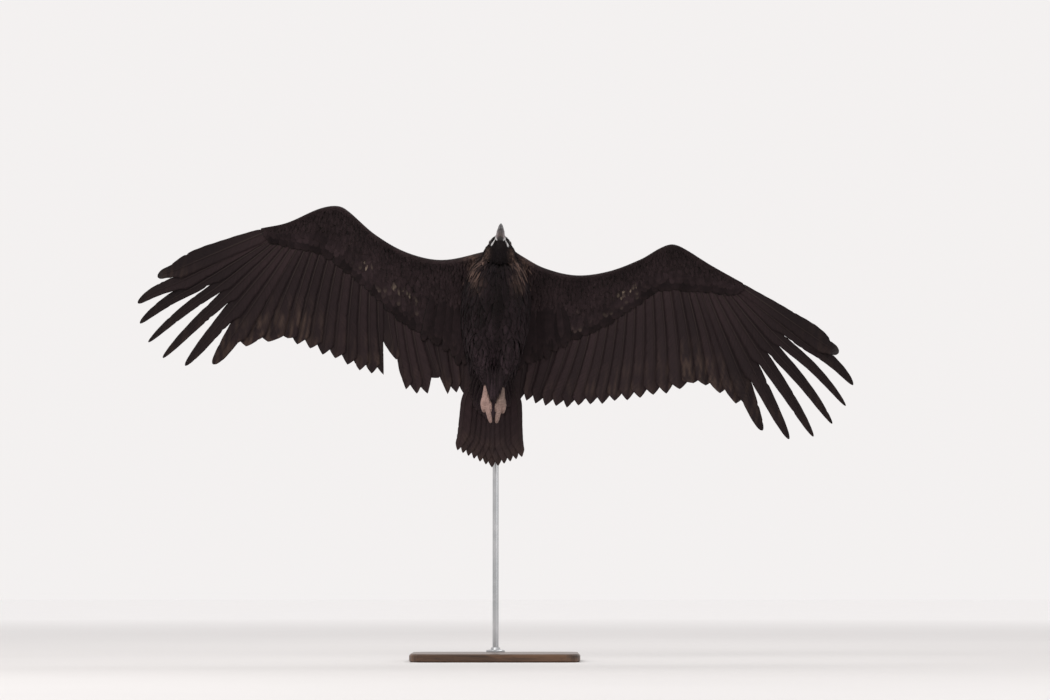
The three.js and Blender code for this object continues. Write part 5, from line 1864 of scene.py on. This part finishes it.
def make_bill(materials):
    """Both halves of the horny bill, and the cere with its nostrils."""

    def upper_shape(points, normals):
        f, u, _ = head_coordinates(points)
        rim = hill((u + 14 + 0.9 * np.maximum(f - 112, 0), 2.2)) * ease(f, 132, 118)
        growth = 0.12 * np.sin(2 * math.pi * (f + 0.5 * u + 2 * mottle(points, 14, 91)) / 3.4)
        return points + normals * (0.5 * rim + growth + 0.15 * mottle(points, 6, 92))[:, None]

    def upper_tone(points):
        horn = blend(UPPER_HORN, UPPER_HORN_TIP, ease(head_coordinates(points)[0], 108, 133))
        return horn * (1 + 0.2 * mottle(points, 9, 93, 2))[:, None]

    def lower_tone(points):
        f, _, o = head_coordinates(points)
        horn = blend(LOWER_HORN, LOWER_HORN_TIP, ease(f, 98, 122))
        horn = horn * (1 + 0.15 * mottle(points, 8, 94, 2))[:, None]
        return blend(horn, DOWN_BLACK * 1.2, ease(f + 0.9 * np.abs(o), 107, 100))

    upper = subdivided(loft(bill_rings(UPPER_BILL, 22, 32, ridge=0.75, corner=0.75)), "bill_upper_horn")
    finished(upper, materials["horn"], upper_tone, "bill_horn", ["bill_upper"], upper_shape)
    lower = subdivided(loft(bill_rings(LOWER_BILL, 12, 28, corner=0.85)), "bill_lower_horn")
    finished(lower, materials["horn"], lower_tone, "bill_horn", ["bill_lower"])

    def nostril(points, width, height):
        """A slanting oval on each side of the cere."""
        f, u, o = head_coordinates(points)
        forward, up = NOSTRIL
        return hill((f - forward - 0.35 * (u - up), width), (u - up, height)) * ease(np.abs(o), 6, 11)

    def cere_shape(points, normals):
        pit, lip = nostril(points, 1.7, 4.2), nostril(points, 3.6, 6.6)
        f = head_coordinates(points)[0]
        fold = np.sin(2 * math.pi * (f + 1.5 * mottle(points, 12, 95)) / 3.6) * ease(f, 92, 84)
        return points + normals * (1.5 * lip - 5.0 * pit + 0.16 * fold)[:, None]

    def cere_tone(points):
        f, u, _ = head_coordinates(points)
        tone = CERE_GREY * (0.95 + 0.15 * mottle(points, 9, 96, 2))[:, None]
        tone = blend(tone, BARE_BLUE * 0.9, ease(f, 90, 82) * ease(u, 2, -8))
        tone = blend(tone, DOWN_BLACK, ease(u, -19.5, -22.5))
        # Painted shade darkens the nostril openings, over their sunken pits.
        return blend(tone, NOSTRIL_SHADE, np.clip(nostril(points, 1.5, 3.8) * 1.3, 0, 1))

    cere = subdivided(loft(bill_rings(CERE, 18, 36, ridge=0.3, corner=0.8)), "cere_and_nostrils")
    finished(cere, materials["cere"], cere_tone, "cere_skin", ["bill_upper"], cere_shape)


def make_eyes(material):
    """Eyeballs with a raised cornea; each point knows its angle off the eye's axis and round it."""
    for side, label in SIDES:
        bm = bmesh.new()
        bmesh.ops.create_uvsphere(bm, u_segments=48, v_segments=32, radius=EYE_RADIUS)
        bm.verts.index_update()
        in_order(bm.faces)
        middle = eye_middle(side)
        turn = Vector((0, 0, 1)).rotation_difference(Vector(eye_axis(side))).to_matrix().to_4x4()
        bm.transform(Matrix.Translation(Vector(middle)) @ turn)

        def cornea(points, normals):
            turn = eye_angles(points, side)[1]
            return points + unit(points - middle) * (0.9 * ease(turn, 46, 18))[:, None]

        def angles(points):
            _, turn, fore, upward = eye_angles(points, side)
            return np.stack([turn, np.arctan2(upward, fore), 0 * turn], -1)

        def plain(points):
            return np.broadcast_to(EYE_BROWN, points.shape)

        finished(hold(bm, f"eyeball_{label}"), material, plain, "eye", [f"eye_{label}"], cornea, angles)


# Each claw's toe from its last joint to its tip, with the toe's radius at both.
CLAWS = [
    [(11, 362, -70), (10, 360, -54), 7, 2.5], [(12, 326, -70), (12, 322, -58), 6, 2],
    [(33, 328, -68), (32, 323, -56), 6, 2], [(27, 300, -50), (27, 290, -44), 6, 2],
]


def claw(begin, stop, thick, thin, side):
    """A curved cone over the end of a toe and a little past it."""
    begin, stop = np.array(begin, float), np.array(stop, float)
    turns = np.linspace(0, 2 * math.pi, 14, endpoint=False)
    ahead = unit(stop - begin)
    aside = np.array([1.0, 0, 0])
    bulge = unit(np.cross(ahead, aside))
    bulge = bulge if bulge[1] > 0 else -bulge
    rings = []
    for t in np.linspace(0.12, 1.32, 10):
        radius = (thick + (thin - thick) * min(t, 1)) * (0.74 + 0.42 * min(t / 0.4, 1))
        radius = radius if t <= 1 else 0.4 + (radius - 0.4) * (1 - (t - 1) / 0.32) ** 0.7
        centre = begin + (stop - begin) * t + bulge * 2.0 * math.sin(math.pi * min(t, 1))
        centre = centre - bulge * 5 * max(t - 1, 0)
        centre[0] = side * centre[0] + leg_sway(centre[1])
        ring = centre + np.outer(np.cos(turns) * radius * 0.85, aside)
        rings.append(ring + np.outer(np.sin(turns) * radius, bulge))
    return loft(rings)


def make_claws(material):
    """Curved black claws that cap the toes."""

    def tone(points):
        return CLAW_BLACK * (1 + 0.35 * mottle(points, 7, 97, 2))[:, None]

    for side, label in SIDES:
        whole = bmesh.new()
        for plan in CLAWS:
            add_shape(whole, claw(*plan, side))
        finished(subdivided(whole, f"claws_{label}"), material, tone, "claw_horn", [f"foot_{label}"])


# ---- stand, stage, light and camera


def finish_stand():
    """Wood and steel on the stand's own nodes."""
    wood = wood_finish()
    for node, material in (
        ("stand_base", wood),
        ("stand_rod", steel_finish("rod_steel", (900, 900, 60))),
        ("stand_collar", steel_finish("collar_steel", (120, 120, 1400))),
    ):
        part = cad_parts[node]
        for held in part.material_slots:
            held.material = material


def make_stage():
    """A wide pale floor, clear on every side, that ends far off; painted shade makes it darker near the
    middle.
    """
    bm = bmesh.new()
    bmesh.ops.create_circle(bm, cap_ends=True, segments=96, radius=60)
    bmesh.ops.translate(bm, vec=(0, 0, -0.0005), verts=bm.verts)
    floor = hold(bm, "pale_floor")
    paper = Finish("pale_paper", 0.85, Specular_IOR_Level=0.2)
    away = paper.node("VectorMath", 1, i0=paper.node("TexCoord", 3))
    away.node.operation = "LENGTH"
    # Painted shade: darker paper within 2 metres of the middle, pale again by 15 metres.
    paper_with_painted_shade = paper.mix(paper.range(away, 2, 15), rgb(PAPER_SHADED_NEAR), rgb(PAPER_FAR))
    paper.colour(paper.graded(paper_with_painted_shade, paper.range(paper.noise(1.2, 3.0), 0.3, 0.7, 0.985, 1.0)))
    paper.bump(paper.noise(700.0, 2.0), 0.0002, 0.2)
    floor.data.materials.append(paper.material)


# Soft lights: name, place, width and height in metres, watts and colour.
LIGHTS = [
    ("key", (-2.6, -3.6, 4.4), (2.6, 2.6), 120, (1, 0.985, 0.96)),
    ("fill", (3.4, -3.8, 1.9), (3.0, 3.0), 30, (0.97, 0.985, 1)),
    ("back", (0.6, 3.0, 4.6), (3.0, 1.6), 60, (1, 1, 1)),
]
LIT_POINT = (0, 0, 1.2)
CAMERA_PITCH, CAMERA_DISTANCE, LENS = 4, 12, 115.05
FRAMING = (0.1062, -0.108)  # from the bird's middle to the picture's, to the side and up


def add_camera():
    """Eye level near the floor, a long way off, looking a little up at the bird's underside."""
    pitch = math.radians(CAMERA_PITCH)
    ahead = Vector((0, math.cos(pitch), math.sin(pitch)))
    above = Vector((0, -math.sin(pitch), math.cos(pitch)))
    target = Vector((FRAMING[0], 0, BODY_HEIGHT * MM)) + above * FRAMING[1]
    lens = bpy.data.cameras.new("camera")
    lens.lens = LENS
    lens.sensor_width = 36
    lens.clip_end = 60
    held = bpy.data.objects.new("camera", lens)
    held.location = target - ahead * CAMERA_DISTANCE
    held.rotation_euler = ahead.to_track_quat("-Z", "Y").to_euler()
    bpy.context.scene.collection.objects.link(held)
    bpy.context.scene.camera = held


def light_studio():
    """Pale even daylight and three soft lights."""
    world = bpy.data.worlds.new("studio")
    bpy.context.scene.world = world
    world.use_nodes = True
    sky = world.node_tree.nodes["Background"]
    sky.inputs["Color"].default_value = (1.0, 0.975, 0.97, 1)
    sky.inputs["Strength"].default_value = 0.9
    for name, place, size, watts, colour in LIGHTS:
        lamp = bpy.data.lights.new(name, "AREA")
        lamp.shape = "RECTANGLE"
        lamp.size, lamp.size_y = size
        lamp.energy = watts
        lamp.color = colour
        held = bpy.data.objects.new(name, lamp)
        held.location = place
        held.rotation_euler = (Vector(LIT_POINT) - Vector(place)).to_track_quat("-Z", "Y").to_euler()
        bpy.context.scene.collection.objects.link(held)
    bpy.context.scene.view_settings.view_transform = "Standard"


# ---- the whole bird


def main():
    draw = np.random.default_rng(20)
    add_camera()
    light_studio()
    make_stage()
    finish_stand()

    vanes = flight_finish()
    materials = {
        "covert": contour_finish("covert_feathers", 0.76, 0.015),
        "body": contour_finish("body_plumage_feathers", 0.8, 0.015),
        "ruff": contour_finish("ruff_hackles", 0.8, 0.02),
        "down": contour_finish("head_down_tufts", 0.88, 0.03),
        "horn": horn_finish("bill_horn_worn", 0.42, 0.0003),
        "claw": horn_finish("claw_horn_dark", 0.32, 0.0002),
        "cere": cere_finish(),
        "eye": eye_finish(),
        "skin": skin_finish(),
    }
    wings = [Wing("right"), Wing("left")]
    skin, tree, trunk_tree = make_skin(wings, materials["skin"])
    skin_map = map_reader(skin, tree)
    hide = Hide(skin, tree, trunk_tree, skin_map)

    for wing in wings:
        make_flight_feathers(wing, vanes, draw)
        for up in (-1, 1):
            make_coverts(wing, up, materials["covert"], skin_map, draw)
    make_tail(vanes, draw)
    make_body_plumage(hide, materials["body"], draw)
    make_trousers(hide, materials["body"], draw)
    make_ruff(hide, materials["ruff"], draw)
    make_head_down(hide, materials["down"], draw)
    make_tail_coverts(hide, materials["body"], draw)
    make_bill(materials)
    make_eyes(materials["eye"])
    make_claws(materials["claw"])


main()
